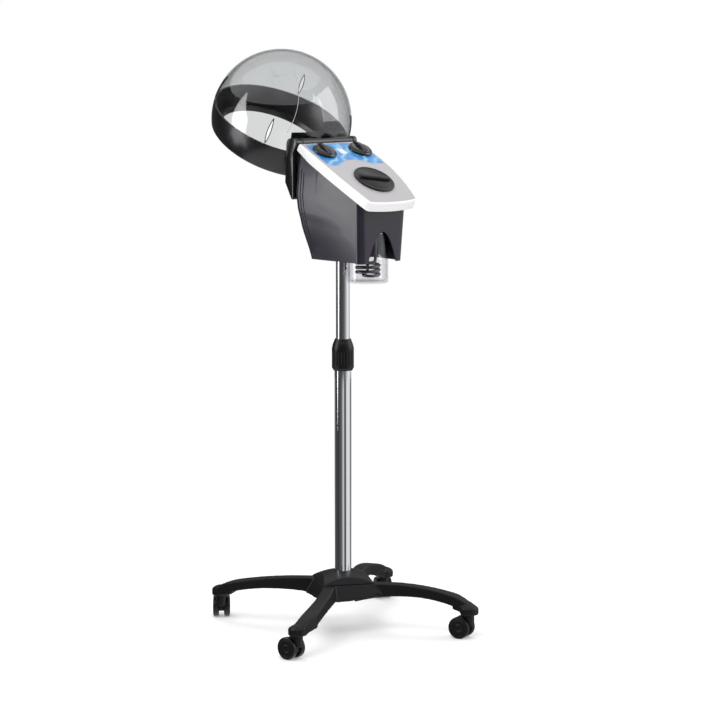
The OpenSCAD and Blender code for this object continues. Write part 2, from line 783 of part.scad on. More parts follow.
echo(heating_coil_least_gap = coil_gap);

module heating_coil() {
    color("#55565a") translate([0, -jar_y, 0]) swept_tube(coil_path, coil_tube_r - 0.1, 8);
}
module thermostat() {
    color("#c8c8cc") translate([30, -52, chassis_z + chassis_t]) {
        cylinder(r = 9, h = 5);
        cylinder(r = 6, h = 11);
    }
}
module terminal_block() {
    color("#e6e4da") translate([34, -24, chassis_z + chassis_t]) difference() {
        cube([18, 44, 15]);
        for (i = [0:3]) translate([9, 6.5 + 10.5 * i, 4]) cylinder(r = 2, h = 20);
    }
}
module steam_pipe() {
    color("#b4b7ba") translate([steam_x, 0, 0]) difference() {
        steam_pipe_form(steam_r);
        steam_pipe_form(steam_r - 1.2, 1);
    }
}
module steam_pipe_form(r, over = 0) {
    low = chassis_z - holder_lid + 2 - over;
    translate([0, steam_y, low]) cylinder(r = r, h = port_z - bend_r - low);
    translate([0, steam_y + bend_r, port_z - bend_r]) rotate([90, 0, -90])
        rotate_extrude(angle = 90) translate([bend_r, 0]) circle(r, $fn = 48);
    translate([0, 0, port_z]) along_y(r, steam_y + bend_r, bracket_front - 2 + over);
}
module port_seal() {
    r = steam_r + 6;
    low = port_z - r - 1;
    high = port_z + r + 1;
    color("#7a7774") difference() {
        translate([steam_x, 0, port_z]) along_y(r, back_y(high), bracket_front - fine);
        side_plate(-big / 2, big) polygon([
            [0, low], [back_y(low) + fine, low], [back_y(high) + fine, high], [0, high]]);
        translate([steam_x, 0, port_z]) along_y(steam_r + run, 0, 100);
    }
}

// Hood hinge
back_low = back_posts[2];
back_high = back_posts[3];
function back_y(z) = back_low[0] + (z - back_low[1]) * (back_high[0] - back_low[0])
    / (back_high[1] - back_low[1]);
bracket_front = back_low[0] + 2.5;
screw_rows = [[hinge_z + 4, hinge_y - 6], [hinge_z - 44, bracket_front + 1]];
function chord_in(x, r) = sqrt(r * r - x * x);
function arc_points(c, r, a0, a1, steps = 15) =
    [for (i = [0:steps]) let (a = a0 + (a1 - a0) * i / steps) c + r * [cos(a), sin(a)]];

module side_plate(x0, w) {
    // The child outline is drawn as seen from the side, y across and z up
    translate([x0, 0, 0]) rotate([90, 0, 90]) linear_extrude(w) children();
}
module hinge_lugs() {
    foot = hinge_z - 62;
    head = hinge_z - 28;
    color("#1b1b1d") for (s = [0, 1]) mirror([s, 0, 0]) difference() {
        union() {
            side_plate(lug_in, lug_w) union() {
                translate([hinge_y, hinge_z]) circle(lug_r);
                polygon([[back_y(foot) + fine, foot], [back_y(head) + fine, head],
                         [hinge_y - 4.5, head + 6], [hinge_y - lug_r + 1, hinge_z - 4],
                         [hinge_y, hinge_z],
                         [hinge_y + 6, hinge_z - 6], [hinge_y + 2, hinge_z - 30],
                         [back_y(foot) + 5, foot]]);
            }
            side_plate(lug_in - 28, 40) polygon([
                [back_y(foot) + fine, foot], [back_y(head) + fine, head],
                [back_y(head) + 4, head], [back_y(foot) + 4, foot]]);
        }
        translate([0, hinge_y, hinge_z]) along_x(pin_d / 2, 0, 120);
    }
}
module hinge_pins() {
    color("#a5a7aa") for (s = [0, 1]) mirror([s, 0, 0])
        translate([0, hinge_y, hinge_z]) along_x(pin_d / 2, lug_in - ear_w, bracket_half - pin_cover);
}
module bracket_outline() {
    back = bracket_front + bracket_depth;
    top = hinge_z + barrel_r;
    round_r = 14;
    polygon(concat(
        [[bracket_front + 3, bracket_z], [bracket_front, bracket_z + 4],
         [bracket_front, hinge_z - 22]],
        arc_points([hinge_y, hinge_z], barrel_r, 195, 90),
        arc_points([back - 5 - round_r, top - round_r], round_r, 90, 0),
        [[back, bracket_z + 38], [back - 21, bracket_z + 2], [back - 24, bracket_z]]));
}
module hood_bracket() {
    color("#1d1c20") difference() {
        side_plate(-bracket_half, 2 * bracket_half) bracket_outline();
        translate([0, hood_y, hood_z]) sphere(hood_r + fine);
        for (s = [0, 1]) mirror([s, 0, 0]) {
            translate([0, hinge_y, hinge_z]) along_x(lug_r + 1, lug_in - 0.5, lug_in + lug_w + 0.5);
            translate([lug_in - 0.5, hinge_y - 20, hinge_z - 66]) cube([lug_w + 1, 28, 66 + lug_r]);
            translate([0, hinge_y, hinge_z]) along_x(pin_d / 2 + run, lug_in - ear_w - 0.5, bracket_half - pin_cover + fine);
        }
        translate([steam_x, 0, port_z]) along_y(steam_r + 3, 0, 120);
        screw_holes(2.5);
    }
}

// Hood
module screw_holes(r) {
    for (x = [-screw_x, screw_x], row = screw_rows) translate([x, 0, row[0]])
        along_y(r, row[1], 130);
}
module hood_skirt() {
    floor_r = chord_in(skirt_h, hood_r);
    color("#1a191c") difference() {
        hood_frame() union() {
            difference() {
                rotate([skirt_tilt, 0, 0]) rotate_extrude($fn = 180) union() {
                    difference() {
                        intersection() {
                            circle(hood_r, $fn = 360);
                            translate([0, -skirt_h]) square([hood_r + 1, skirt_h + 20]);
                        }
                        circle(skirt_in, $fn = 360);
                        translate([-big, -big]) square([big, 2 * big]);
                    }
                    translate([channel_r, -skirt_h]) square([floor_r - channel_r - 1.5, 3]);
                    translate([channel_r, -skirt_h]) square([3, channel_h]);
                }
                translate([-big / 2, -big / 2, 0]) cube(big);
            }
            difference() {
                intersection() {
                    sphere(tongue_out, $fn = 180);
                    translate([-big / 2, -big / 2, -9]) cube([big, big, 9 + tongue_h]);
                }
                sphere(tongue_in, $fn = 180);
            }
        }
        screw_holes(2.8);
        translate([steam_x, 0, port_z]) along_y(steam_r + 3, 0, 120);
    }
}
module slit(turn) {
    arc = (pow(slit_len / 2, 2) + pow(slit_w / 2, 2)) / slit_w;
    rotate(turn - 90) translate([0, 0, 3 + slit_len / 2]) intersection_for (s = [-1, 1])
        translate([0, s * (arc - slit_w / 2), 0]) along_x(arc, hood_r - 25, hood_r + 10);
}
module hood_dome() {
    color([0.72, 0.73, 0.74, 0.45]) difference() {
        hood_frame() difference() {
            union() {
                intersection() {
                    sphere(hood_r, $fn = 180);
                    translate([-big / 2, -big / 2, fine]) cube(big);
                }
                dome_strip_edges();
            }
            sphere(hood_r - dome_wall, $fn = 180);
            for (t = [slit_turn, 180 - slit_turn]) { slit(t); slit(-t); }
        }
        screw_holes(2.8);
    }
}
module dome_strip_edges() {
    // Two raised lines that lean together from the bracket to the top
    h0 = 42;
    h1 = 154;
    for (s = [0, 1]) mirror([s, 0, 0]) intersection() {
        sphere(hood_r + 0.9, $fn = 180);
        rotate([90, 0, 0]) linear_extrude(big) polygon([
            [strip_half, h0], [strip_half - strip_lean * (h1 - h0), h1],
            [strip_half - strip_lean * (h1 - h0) + 1.6, h1], [strip_half + 1.6, h0]]);
    }
}
module inner_clamp() {
    color("#18181a") difference() {
        intersection() {
            translate([0, hood_y, hood_z]) sphere(clamp_out);
            translate([-clamp_half, 0, 0]) cube([2 * clamp_half, hood_y - 60, clamp_top]);
            hood_frame() translate([-big / 2, -big / 2, clamp_low]) cube(big);
        }
        translate([0, hood_y, hood_z]) sphere(clamp_out - clamp_t);
        screw_holes(2.8);
        translate([steam_x, 0, port_z]) along_y(steam_r + 3, 0, 130);
    }
}
module clamp_screws() {
    color("#9c9ea2") for (x = [-screw_x, screw_x], row = screw_rows) {
        seat = hood_y - sqrt(pow(clamp_out - clamp_t, 2) - x * x - pow(hood_z - row[0], 2));
        translate([x, 0, row[0]]) {
            along_y(2.5, row[1], seat + 6.5);
            along_y(5, seat + 5, seat + 8);
        }
    }
}
module steam_nozzle() {
    seat = hood_y - sqrt(pow(clamp_out - clamp_t, 2) - pow(steam_x, 2) - pow(hood_z - port_z, 2));
    color("#202023") translate([steam_x, 0, port_z]) difference() {
        union() {
            along_y(steam_r + 2.8, seat - 12, seat + 3);
            intersection() {
                translate([0, seat, 0]) sphere(rose_r);
                translate([-steam_x, hood_y, hood_z - port_z]) sphere(clamp_out - clamp_t - fine);
            }
        }
        along_y(steam_r, seat - 20, seat + 8);
        for (a = [-60:40:60]) translate([0, seat + 9, 0]) rotate([0, a, 0])
            translate([-1.5, -4, 0]) cube([3, 8, 30]);
    }
}

base_frame();
hub_cover();
hub_bolt();
outer_tube();
tube_foot_plug();
collet();
lock_collar();
inner_tube();
tube_glide();
tube_top_plug();
pivot_bolt();
swivel_washer();
for (i = [0:3]) {
    castor_stem(i);
    castor_housing(i);
    castor_wheels(i);
}
pole_socket();
head_housing();
chassis_plate();
bottom_cover();
cable_gland();
control_panel();
panel_label();
timer_switch();
steam_switch();
timer_knob();
steam_knob();
filler_neck();
filler_cap();
filler_seal();
jar_holder();
jar_gasket();
water_jar();
heating_coil();
thermostat();
terminal_block();
steam_pipe();
port_seal();
hinge_lugs();
hinge_pins();
hood_bracket();
hood_skirt();
hood_dome();
inner_clamp();
clamp_screws();
steam_nozzle();
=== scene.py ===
# %% [markdown]
# # A salon hair steamer
# The steamer stands on four castors. A chrome pole carries a dark control head with a clear
# water jar, and a smoked hood turns up on the head's back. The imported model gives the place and
# size of every part, so each step here makes one part's finish, or models its visible form
# round the place that the frame gives.

# %% Load the frame
import json
import math

import bpy
from mathutils import Matrix, Vector


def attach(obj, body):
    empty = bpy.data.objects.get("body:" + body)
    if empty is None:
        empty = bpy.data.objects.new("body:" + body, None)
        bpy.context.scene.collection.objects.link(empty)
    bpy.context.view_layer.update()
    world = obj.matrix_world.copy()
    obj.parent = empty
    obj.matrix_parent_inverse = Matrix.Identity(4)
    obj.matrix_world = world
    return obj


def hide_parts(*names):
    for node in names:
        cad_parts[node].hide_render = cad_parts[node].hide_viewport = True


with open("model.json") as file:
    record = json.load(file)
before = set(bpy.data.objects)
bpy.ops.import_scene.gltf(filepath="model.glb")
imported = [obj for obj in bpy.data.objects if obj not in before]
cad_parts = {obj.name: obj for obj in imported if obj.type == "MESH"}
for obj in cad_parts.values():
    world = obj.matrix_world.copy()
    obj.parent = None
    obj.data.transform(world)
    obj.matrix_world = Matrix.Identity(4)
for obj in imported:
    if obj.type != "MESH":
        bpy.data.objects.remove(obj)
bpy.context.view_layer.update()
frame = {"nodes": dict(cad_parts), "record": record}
nodes = frame["nodes"]

# %% [markdown]
# ## The camera
# The photograph was taken from well back with a long lens, so upright lines stay nearly upright.
# A camera could be placed by angles, but a place and a point to look at are easier to read.

# %% Place the camera
CAMERA_PLACE = Vector((-3.659, -4.239, 1.408))
CAMERA_AIM = Vector((0.0292, -0.0252, 0.6187))
LENS_MM = 125.5
SENSOR_MM = 36.0

bpy.ops.object.camera_add(location=CAMERA_PLACE)
camera = bpy.context.object
camera.rotation_euler = (CAMERA_AIM - CAMERA_PLACE).to_track_quat("-Z", "Y").to_euler()
camera.data.lens = LENS_MM
camera.data.sensor_width = SENSOR_MM
bpy.context.scene.camera = camera
print("camera distance:", round((CAMERA_AIM - CAMERA_PLACE).length, 3))

# %% [markdown]
# ## Sums on sockets
# A finish is a small network of nodes. Written out node by node it is long and hard to read, so
# one class wraps a socket and turns + - * / into Math nodes. Another method adds any other node.

# %% A value in a material, and a material that is being made
class Value:
    """A socket that carries a number; sums on it add Math nodes."""

    def __init__(self, finish, socket):
        self.finish = finish
        self.socket = socket

    def sum_with(self, operation, first, second):
        """One Math node for one sign."""
        return self.finish.maths(operation, first, second)

    def __add__(self, other):
        return self.sum_with("ADD", self, other)

    def __radd__(self, other):
        return self.sum_with("ADD", other, self)

    def __sub__(self, other):
        return self.sum_with("SUBTRACT", self, other)

    def __rsub__(self, other):
        return self.sum_with("SUBTRACT", other, self)

    def __mul__(self, other):
        return self.sum_with("MULTIPLY", self, other)

    def __rmul__(self, other):
        return self.sum_with("MULTIPLY", other, self)

    def __truediv__(self, other):
        return self.sum_with("DIVIDE", self, other)

    def __rtruediv__(self, other):
        return self.sum_with("DIVIDE", other, self)

    def __pow__(self, other):
        return self.sum_with("POWER", self, other)


class Finish:
    """A material, or the world, whose nodes are added one call at a time."""

    def __init__(self, name, world=False):
        kind = bpy.data.worlds if world else bpy.data.materials
        self.owner = kind.new(name)
        self.owner.use_nodes = True
        self.tree = self.owner.node_tree
        self.tree.nodes.clear()
        self.output = "ShaderNodeOutputWorld" if world else "ShaderNodeOutputMaterial"

    @property
    def places(self):
        """Where a point lies on its own piece."""
        return self.node("ShaderNodeTexCoord", out="Object")

    def node(self, kind, settings=None, sockets=None, out=0):
        """Adds a node, first its settings and then its sockets, and gives one output."""
        made = self.tree.nodes.new(kind)
        for name, value in (settings or {}).items():
            if name == "stops":
                self.set_stops(made.color_ramp, value)
            else:
                setattr(made, name, value)
        for key, value in (sockets or {}).items():
            if isinstance(value, Value):
                self.tree.links.new(value.socket, made.inputs[key])
            else:
                made.inputs[key].default_value = value
        return Value(self, made.outputs[out])

    def set_stops(self, ramp, stops):
        """Gives a colour ramp its stops, each a place and a colour."""
        while len(ramp.elements) < len(stops):
            ramp.elements.new(1.0)
        for element, (place, colour) in zip(ramp.elements, stops):
            element.position = place
            element.color = colour

    def noise(self, scale, detail=2.0, where=None):
        """Soft random patches, on the piece or on other coordinates."""
        sockets = {"Vector": where or self.places, "Scale": scale, "Detail": detail}
        return self.node("ShaderNodeTexNoise", None, sockets, out="Fac")

    def blend(self, factor, first, second):
        """A colour between two others."""
        settings = {"data_type": "RGBA"}
        return self.node("ShaderNodeMix", settings, {0: factor, 6: first, 7: second}, out=2)

    def bump(self, height, distance):
        """A relief from a height, its depth in metres."""
        sockets = {"Height": height, "Distance": distance, "Strength": 1.0}
        return self.node("ShaderNodeBump", None, sockets)

    def maths(self, operation, first, second=0.0):
        """One Math node, for what Python's own signs don't cover."""
        return self.node("ShaderNodeMath", {"operation": operation}, {0: first, 1: second})

    def principled(self, sockets):
        return self.node("ShaderNodeBsdfPrincipled", None, sockets)

    def done(self, shader):
        """Joins the shader to the output and gives the material or the world."""
        output = self.tree.nodes.new(self.output)
        self.tree.links.new(shader.socket, output.inputs["Surface"])
        return self.owner


def paint(red, green, blue):
    """A colour as picked on a screen, 0 to 255, in the renderer's linear scale."""
    parts = [c / 255 for c in (red, green, blue)]
    linear = [c / 12.92 if c <= 0.04045 else ((c + 0.055) / 1.055) ** 2.4 for c in parts]
    return (*linear, 1.0)


def shade(colour, share):
    """The same colour, darker or lighter by a share."""
    return (*[min(1.0, c * share) for c in colour[:3]], 1.0)

# %% [markdown]
# ## Finishes
# Moulded plastic isn't one flat colour: the tool leaves a fine grain, the melt leaves slow
# changes of tone, and handling polishes it unevenly. Noise at three scales gives all of them.

# %% Moulded plastics
def moulded(name, colour, roughness, grain=0.0, grain_size=1500.0, spread=0.12,
            coat=0.0, shine=0.5):
    """Solid plastic: a slow change of tone, uneven polish and, where asked for, a fine grain."""
    finish = Finish(name)
    cloud = finish.noise(9.0, 3.0)
    wipe = finish.noise(38.0, 4.0)
    tone = finish.blend(cloud, shade(colour, 1 - spread), shade(colour, 1 + spread))
    sockets = {
        "Base Color": tone,
        "Roughness": roughness * (0.8 + 0.4 * wipe),
        "Specular IOR Level": shine,
        "Coat Weight": coat,
        "Coat Roughness": 0.04,
    }
    if grain:
        sockets["Normal"] = finish.bump(finish.noise(grain_size, 2.0), grain)
    return finish.done(finish.principled(sockets))


BASE_PLASTIC = moulded("base_plastic", paint(20, 19, 22), 0.42, grain=0.00006, shine=0.25)
CASTOR_PLASTIC = moulded("castor_plastic", paint(22, 22, 24), 0.34, grain=0.00003, shine=0.35)
COLLAR_PLASTIC = moulded("collar_plastic", paint(14, 13, 16), 0.36, grain=0.00003, shine=0.3)
BLACK_GLOSS = moulded("black_gloss", paint(16, 15, 18), 0.16, coat=0.2)
KNOB_GLOSS = moulded("knob_gloss", paint(10, 10, 12), 0.14, coat=0.3)
CAP_PLASTIC = moulded("cap_plastic", paint(18, 17, 20), 0.36, grain=0.00006, grain_size=1100.0,
                      shine=0.4)
WHITE_NYLON = moulded("white_nylon", paint(226, 224, 216), 0.5, grain=0.00002, spread=0.04)
PALE_PLASTIC = moulded("pale_plastic", paint(222, 218, 204), 0.45, grain=0.00002, spread=0.04)
SEAL_RUBBER = moulded("seal_rubber", paint(96, 94, 91), 0.75, grain=0.00005, spread=0.1)
HOUSING_PLASTIC = moulded("housing_plastic", paint(33, 29, 43), 0.3, coat=0.1)
SKIRT_GLOSS = moulded("skirt_gloss", paint(16, 12, 19), 0.26, coat=0.05)

# %% [markdown]
# ## Paint and print on the control panel
# The panel is sprayed silver, whose fine flakes sparkle a little. Its turned-down rim is painted
# near white, a painted highlight for the light on its sides. The mesh says where its rim is. The
# film is printed in blues that run in soft waves, with a plain white field between the knobs, and
# its own flat map tells where each colour goes.

# %% Panel paint with its painted rim highlight, and printed film
WHITE_FIELD = (0.515, 0.235)
WHITE_FIELD_HALF = (0.042, 0.06)
WAVE_SHARE = 0.62
SWELL_SHARE = 0.5
WAVE_BLUES = [
    (0.0, paint(38, 112, 196)), (0.45, paint(66, 150, 218)), (0.72, paint(96, 178, 230)),
    (0.9, paint(168, 214, 240)), (1.0, paint(222, 238, 248)),
]


def panel_paint_and_rim_highlight():
    """Silver paint with fine flakes, and a painted highlight on the rim."""
    finish = Finish("panel_paint_and_rim_highlight")
    rim = finish.node("ShaderNodeAttribute", {"attribute_name": "rim"}, out="Fac")
    flake = finish.noise(2600.0, 2.0)
    face = finish.blend(flake, paint(174, 171, 175), paint(192, 189, 192))
    sockets = {
        # The rim share blends to near white: a painted highlight for the light on the panel's
        # sides.
        "Base Color": finish.blend(rim, face, paint(252, 252, 252)),
        "Roughness": 0.3 + 0.1 * finish.noise(38.0, 4.0),
        "Coat Weight": 0.3,
        "Coat Roughness": 0.1,
        "Normal": finish.bump(flake, 0.00001),
    }
    return finish.done(finish.principled(sockets))


def printed_film():
    """Blue waves and a plain white field, by the film's own flat map."""
    finish = Finish("label_film")
    flat = finish.node("ShaderNodeTexCoord", out="UV")
    u = finish.node("ShaderNodeSeparateXYZ", None, {0: flat}, out=0)
    v = finish.node("ShaderNodeSeparateXYZ", None, {0: flat}, out=1)
    wave = finish.node("ShaderNodeTexWave", {"bands_direction": "DIAGONAL"},
                       {"Vector": flat, "Scale": 2.6, "Distortion": 9.0, "Detail": 2.0,
                        "Detail Scale": 1.6}, out="Fac")
    swell = finish.noise(5.0, 2.0, where=flat)
    height = WAVE_SHARE * wave + SWELL_SHARE * swell - 0.05
    tone = finish.node("ShaderNodeValToRGB", {"stops": WAVE_BLUES}, {0: height})
    across = finish.maths("ABSOLUTE", (u - WHITE_FIELD[0]) / WHITE_FIELD_HALF[0])
    down = finish.maths("ABSOLUTE", (v - WHITE_FIELD[1]) / WHITE_FIELD_HALF[1])
    field = finish.maths("LESS_THAN", finish.maths("MAXIMUM", across, down), 1.0)
    sockets = {
        "Base Color": finish.blend(field, tone, paint(236, 238, 242)),
        "Roughness": 0.26 + 0.1 * finish.noise(60.0, 3.0),
        "Coat Weight": 0.4,
    }
    return finish.done(finish.principled(sockets))


PANEL_PAINT_AND_RIM_HIGHLIGHT = panel_paint_and_rim_highlight()
LABEL_FILM = printed_film()

# %% [markdown]
# ## Metals
# The chrome tubes are plated smooth, with only a faint uneven polish. Zinc-plated steel, the
# cast plate and the coil keep the fine streaks that drawing and turning leave, so noise that is
# stretched along one axis gives their tone and polish.

# %% Metals
def metal(name, colour, roughness, streaks=0.0, streak_scale=(1.0, 1.0, 1.0)):
    """Bare or plated metal; streaks are the fine lines that drawing or turning leaves."""
    finish = Finish(name)
    wipe = finish.noise(24.0, 3.0)
    sockets = {"Base Color": colour, "Metallic": 1.0}
    if streaks:
        stretched = finish.node("ShaderNodeMapping", None,
                                {"Vector": finish.places, "Scale": streak_scale})
        lines = finish.noise(420.0, 3.0, where=stretched)
        sockets["Base Color"] = finish.blend(lines, shade(colour, 0.88), shade(colour, 1.06))
        sockets["Roughness"] = roughness * (0.7 + 0.6 * lines)
    else:
        sockets["Roughness"] = roughness * (0.6 + 0.8 * wipe)
    return finish.done(finish.principled(sockets))


CHROME = metal("chrome", paint(232, 234, 238), 0.06)
STEEL = metal("zinc_steel", paint(184, 186, 190), 0.28, 1.0, (1.0, 1.0, 0.05))
CAST_METAL = metal("cast_metal", paint(160, 162, 165), 0.4, 1.0, (0.2, 1.0, 1.0))
ELEMENT_STEEL = metal("element_steel", paint(104, 104, 108), 0.3, 1.0, (1.0, 1.0, 0.3))

# %% [markdown]
# ## Clear plastics
# A glass shader would bend and darken what is behind four thin walls. A thin moulding hardly
# bends light, so here a plain tint is seen through, and a share of mirror that grows towards the
# edges is laid over it.

# %% Clear plastics
def clear(name, tint, body, body_share, edge_share, roughness=0.04, mirror=1.0):
    """Clear plastic: looking through it tints what is behind, and its edges mirror more."""
    finish = Finish(name)
    wipe = finish.noise(30.0, 4.0)
    edge = finish.node("ShaderNodeLayerWeight", None, {"Blend": 0.35}, out="Facing")
    through = finish.node("ShaderNodeBsdfTransparent", None, {"Color": tint})
    solid = finish.principled({
        "Base Color": body,
        "Metallic": mirror,
        "Roughness": roughness * (0.7 + 0.6 * wipe),
    })
    share = body_share + edge_share * edge ** 2.0
    return finish.done(finish.node("ShaderNodeMixShader", None, {0: share, 1: through, 2: solid}))


SMOKED = clear("smoked_clear", paint(241, 242, 242), paint(205, 205, 207), 0.065, 0.5)
# Painted shade: the dome's slit walls and lips are made dark and opaque, for the dark look of
# clear plastic's cut edges.
SLIT_PAINTED_SHADE = moulded("slit_painted_shade", paint(30, 29, 33), 0.4)
# Painted highlight: the raised seam lines get a pale, half-opaque body so that they show as
# bright lines.
SEAM_PAINTED_HIGHLIGHT = clear("seam_painted_highlight", paint(240, 240, 242), paint(225, 225, 230), 0.45, 0.3, 0.3, 0.0)
JAR_CLEAR = clear("jar_clear", paint(251, 251, 252), paint(214, 216, 220), 0.07, 0.45)

# %% [markdown]
# ## Every part gets its finish
# The record names a material slot for each part. Here each slot is given the finish that was
# made for it, so that no part is left in the plain colour that the frame came with.

# %% Give each part its finish
FINISH_OF_SLOT = {
    "base_plastic": BASE_PLASTIC,
    "castor_plastic": CASTOR_PLASTIC,
    "steel": STEEL,
    "chrome_tube": CHROME,
    "collar_plastic": COLLAR_PLASTIC,
    "white_nylon": WHITE_NYLON,
    "cast_metal": CAST_METAL,
    "housing_plastic": HOUSING_PLASTIC,
    "panel_plastic": PANEL_PAINT_AND_RIM_HIGHLIGHT,
    "label_film": LABEL_FILM,
    "black_gloss": BLACK_GLOSS,
    "cap_plastic": CAP_PLASTIC,
    "seal_rubber": SEAL_RUBBER,
    "jar_clear": JAR_CLEAR,
    "element_steel": ELEMENT_STEEL,
    "pale_plastic": PALE_PLASTIC,
    "dome_clear": SMOKED,
}

slot_of = {row["node"]: row["material_slot"] for row in frame["record"]["subparts"]}
for name, part in nodes.items():
    part.data.materials.clear()
    part.data.materials.append(FINISH_OF_SLOT[slot_of[name]])
print("finishes:", len(FINISH_OF_SLOT))

# %% [markdown]
# ## Tools for modelling
# Most pieces start as a grid, a circle, a cube or a cylinder. A grid can be wrapped round any
# form by a rule of two shares, one round the form and one along it, as a tailor lays out cloth.
# Holes are cut with a second solid, and modifiers are applied so that the mesh is final.

# %% Modelling helpers
MM = 0.001
FINE = 0.3 * MM


def take(piece):
    """Only this piece is selected and active."""
    bpy.ops.object.select_all(action="DESELECT")
    piece.select_set(True)
    bpy.context.view_layer.objects.active = piece


def weld(piece, merge=True):
    """Joins points that lie on each other and turns every face outwards."""
    take(piece)
    bpy.ops.object.mode_set(mode="EDIT")
    bpy.ops.mesh.select_all(action="SELECT")
    if merge:
        bpy.ops.mesh.remove_doubles(threshold=1e-6)
    bpy.ops.mesh.normals_make_consistent(inside=False)
    bpy.ops.object.mode_set(mode="OBJECT")


def wrapped(name, around, along, rule, merge=True):
    """A grid laid round a form: rule(s, t) gives the place of each point, both shares 0 to 1."""
    bpy.ops.object.select_all(action="DESELECT")
    bpy.ops.mesh.primitive_grid_add(x_subdivisions=around, y_subdivisions=along, size=2)
    piece = bpy.context.object
    piece.name = name
    for point in piece.data.vertices:
        point.co = rule((point.co.x + 1) / 2, (point.co.y + 1) / 2)
    weld(piece, merge)
    return piece


def plate(name, outline):
    """A flat face with any outline, made from a circle whose points are moved."""
    bpy.ops.object.select_all(action="DESELECT")
    bpy.ops.mesh.primitive_circle_add(vertices=len(outline), fill_type="NGON")
    piece = bpy.context.object
    piece.name = name
    for point, place in zip(piece.data.vertices, outline):
        point.co = place
    return piece


def extruded(name, outline, push):
    """A bar or slab: a plate that is pulled along a vector."""
    piece = plate(name, outline)
    take(piece)
    bpy.ops.object.mode_set(mode="EDIT")
    bpy.ops.mesh.select_all(action="SELECT")
    bpy.ops.mesh.extrude_region_move(TRANSFORM_OT_translate={"value": push})
    bpy.ops.object.mode_set(mode="OBJECT")
    weld(piece)
    return piece


def turned(name, profile, steps=96):
    """A lathe piece: profile points (radius, height) in mm, spun round the local Z axis."""
    count = len(profile) - 1

    def rule(s, t):
        radius, height = profile[round(t * count)]
        turn = 2 * math.pi * s
        return Vector((radius * math.cos(turn), radius * math.sin(turn), height)) * MM

    return wrapped(name, steps, count, rule)


def tube(name, path, radii, sides=12):
    """A round bar along a path in mm; its ends are closed by a point."""
    places = [path[0], *path, path[-1]]
    radii = [0, *radii, 0]
    frames = []
    side = Vector((1, 0, 0))
    for i in range(len(path)):
        along = (path[min(i + 1, len(path) - 1)] - path[max(i - 1, 0)]).normalized()
        side = (side - along * side.dot(along)).normalized()
        frames.append((side, along.cross(side)))
    frames = [frames[0], *frames, frames[-1]]
    count = len(places) - 1

    def rule(s, t):
        i = round(t * count)
        turn = 2 * math.pi * s
        out = frames[i][0] * math.cos(turn) + frames[i][1] * math.sin(turn)
        return (places[i] + out * radii[i]) * MM

    return wrapped(name, sides, count, rule)


def modify(piece, kind, **settings):
    """Adds one modifier and applies it at once."""
    take(piece)
    modifier = piece.modifiers.new(kind.lower(), kind)
    for name, value in settings.items():
        setattr(modifier, name, value)
    bpy.ops.object.modifier_apply(modifier=modifier.name)


def cut(piece, tool, operation="DIFFERENCE"):
    """Takes a tool away from the piece, or adds it, and deletes the tool."""
    modify(piece, "BOOLEAN", operation=operation, object=tool, solver="EXACT")
    bpy.data.objects.remove(tool, do_unlink=True)


def rounded(piece, width, segments=3, angle=40.0):
    """Rounds every edge that is sharper than the angle; the width is in mm."""
    modify(piece, "BEVEL", width=width * MM, segments=segments, limit_method="ANGLE",
           angle_limit=math.radians(angle), use_clamp_overlap=True)


def moved(piece, matrix):
    """Puts the piece in its place and leaves its object at the origin."""
    piece.matrix_world = matrix @ piece.matrix_world
    take(piece)
    bpy.ops.object.transform_apply(location=True, rotation=True, scale=True)
    return piece


def joined(first, others):
    """Makes one object of several."""
    take(first)
    for piece in others:
        piece.select_set(True)
    bpy.ops.object.join()
    return first


def fit(piece, body, finish, stands_for=(), smooth=35.0):
    """Smooth shading, a finish unless it has its own, and the body that carries the piece."""
    take(piece)
    bpy.ops.object.transform_apply(location=True, rotation=True, scale=True)
    bpy.ops.object.shade_smooth_by_angle(angle=math.radians(smooth))
    if finish:
        piece.data.materials.clear()
        piece.data.materials.append(finish)
    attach(piece, body)
    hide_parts(*stands_for)
    print(piece.name, "faces:", len(piece.data.polygons))
    return piece


def cylinder(name, radius, low, high, steps=64):
    """A plain round bar along Z in mm, used to cut holes."""
    bpy.ops.object.select_all(action="DESELECT")
    bpy.ops.mesh.primitive_cylinder_add(vertices=steps, radius=radius * MM,
                                        depth=(high - low) * MM,
                                        location=(0, 0, (low + high) / 2 * MM))
    piece = bpy.context.object
    piece.name = name
    return moved(piece, Matrix())


def block(name, low, high):
    """A box between two corners in mm."""
    low, high = Vector(low) * MM, Vector(high) * MM
    bpy.ops.object.select_all(action="DESELECT")
    bpy.ops.mesh.primitive_cube_add(size=1, location=(low + high) / 2, scale=high - low)
    piece = bpy.context.object
    piece.name = name
    return moved(piece, Matrix())


def arc(centre, radius, start, end, steps):
    """Points of an arc, angles in degrees."""
    angles = [math.radians(start + (end - start) * i / steps) for i in range(steps + 1)]
    return [(centre[0] + radius * math.cos(a), centre[1] + radius * math.sin(a)) for a in angles]


def line(first, last, steps):
    """Points from one place to another, without the last."""
    return [tuple(a + (b - a) * i / steps for a, b in zip(first, last)) for i in range(steps)]


def ease(share):
    """A soft step: 0 below 0, 1 above 1, and level at both ends."""
    share = min(1.0, max(0.0, share))
    return share * share * (3 - 2 * share)


def shift(x, y, z):
    """A move in mm."""
    return Matrix.Translation(Vector((x, y, z)) * MM)


def turn(degrees, axis):
    """A turn about an axis of the origin."""
    return Matrix.Rotation(math.radians(degrees), 4, axis)

# %% [markdown]
# ## The base
# The base is one large moulding: four bowed legs run pinwheel-fashion into a square hub. The
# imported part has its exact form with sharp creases, but a mould has none. A copy is remeshed
# in small cells and relaxed, which rounds each crease and flows the pads into the legs.

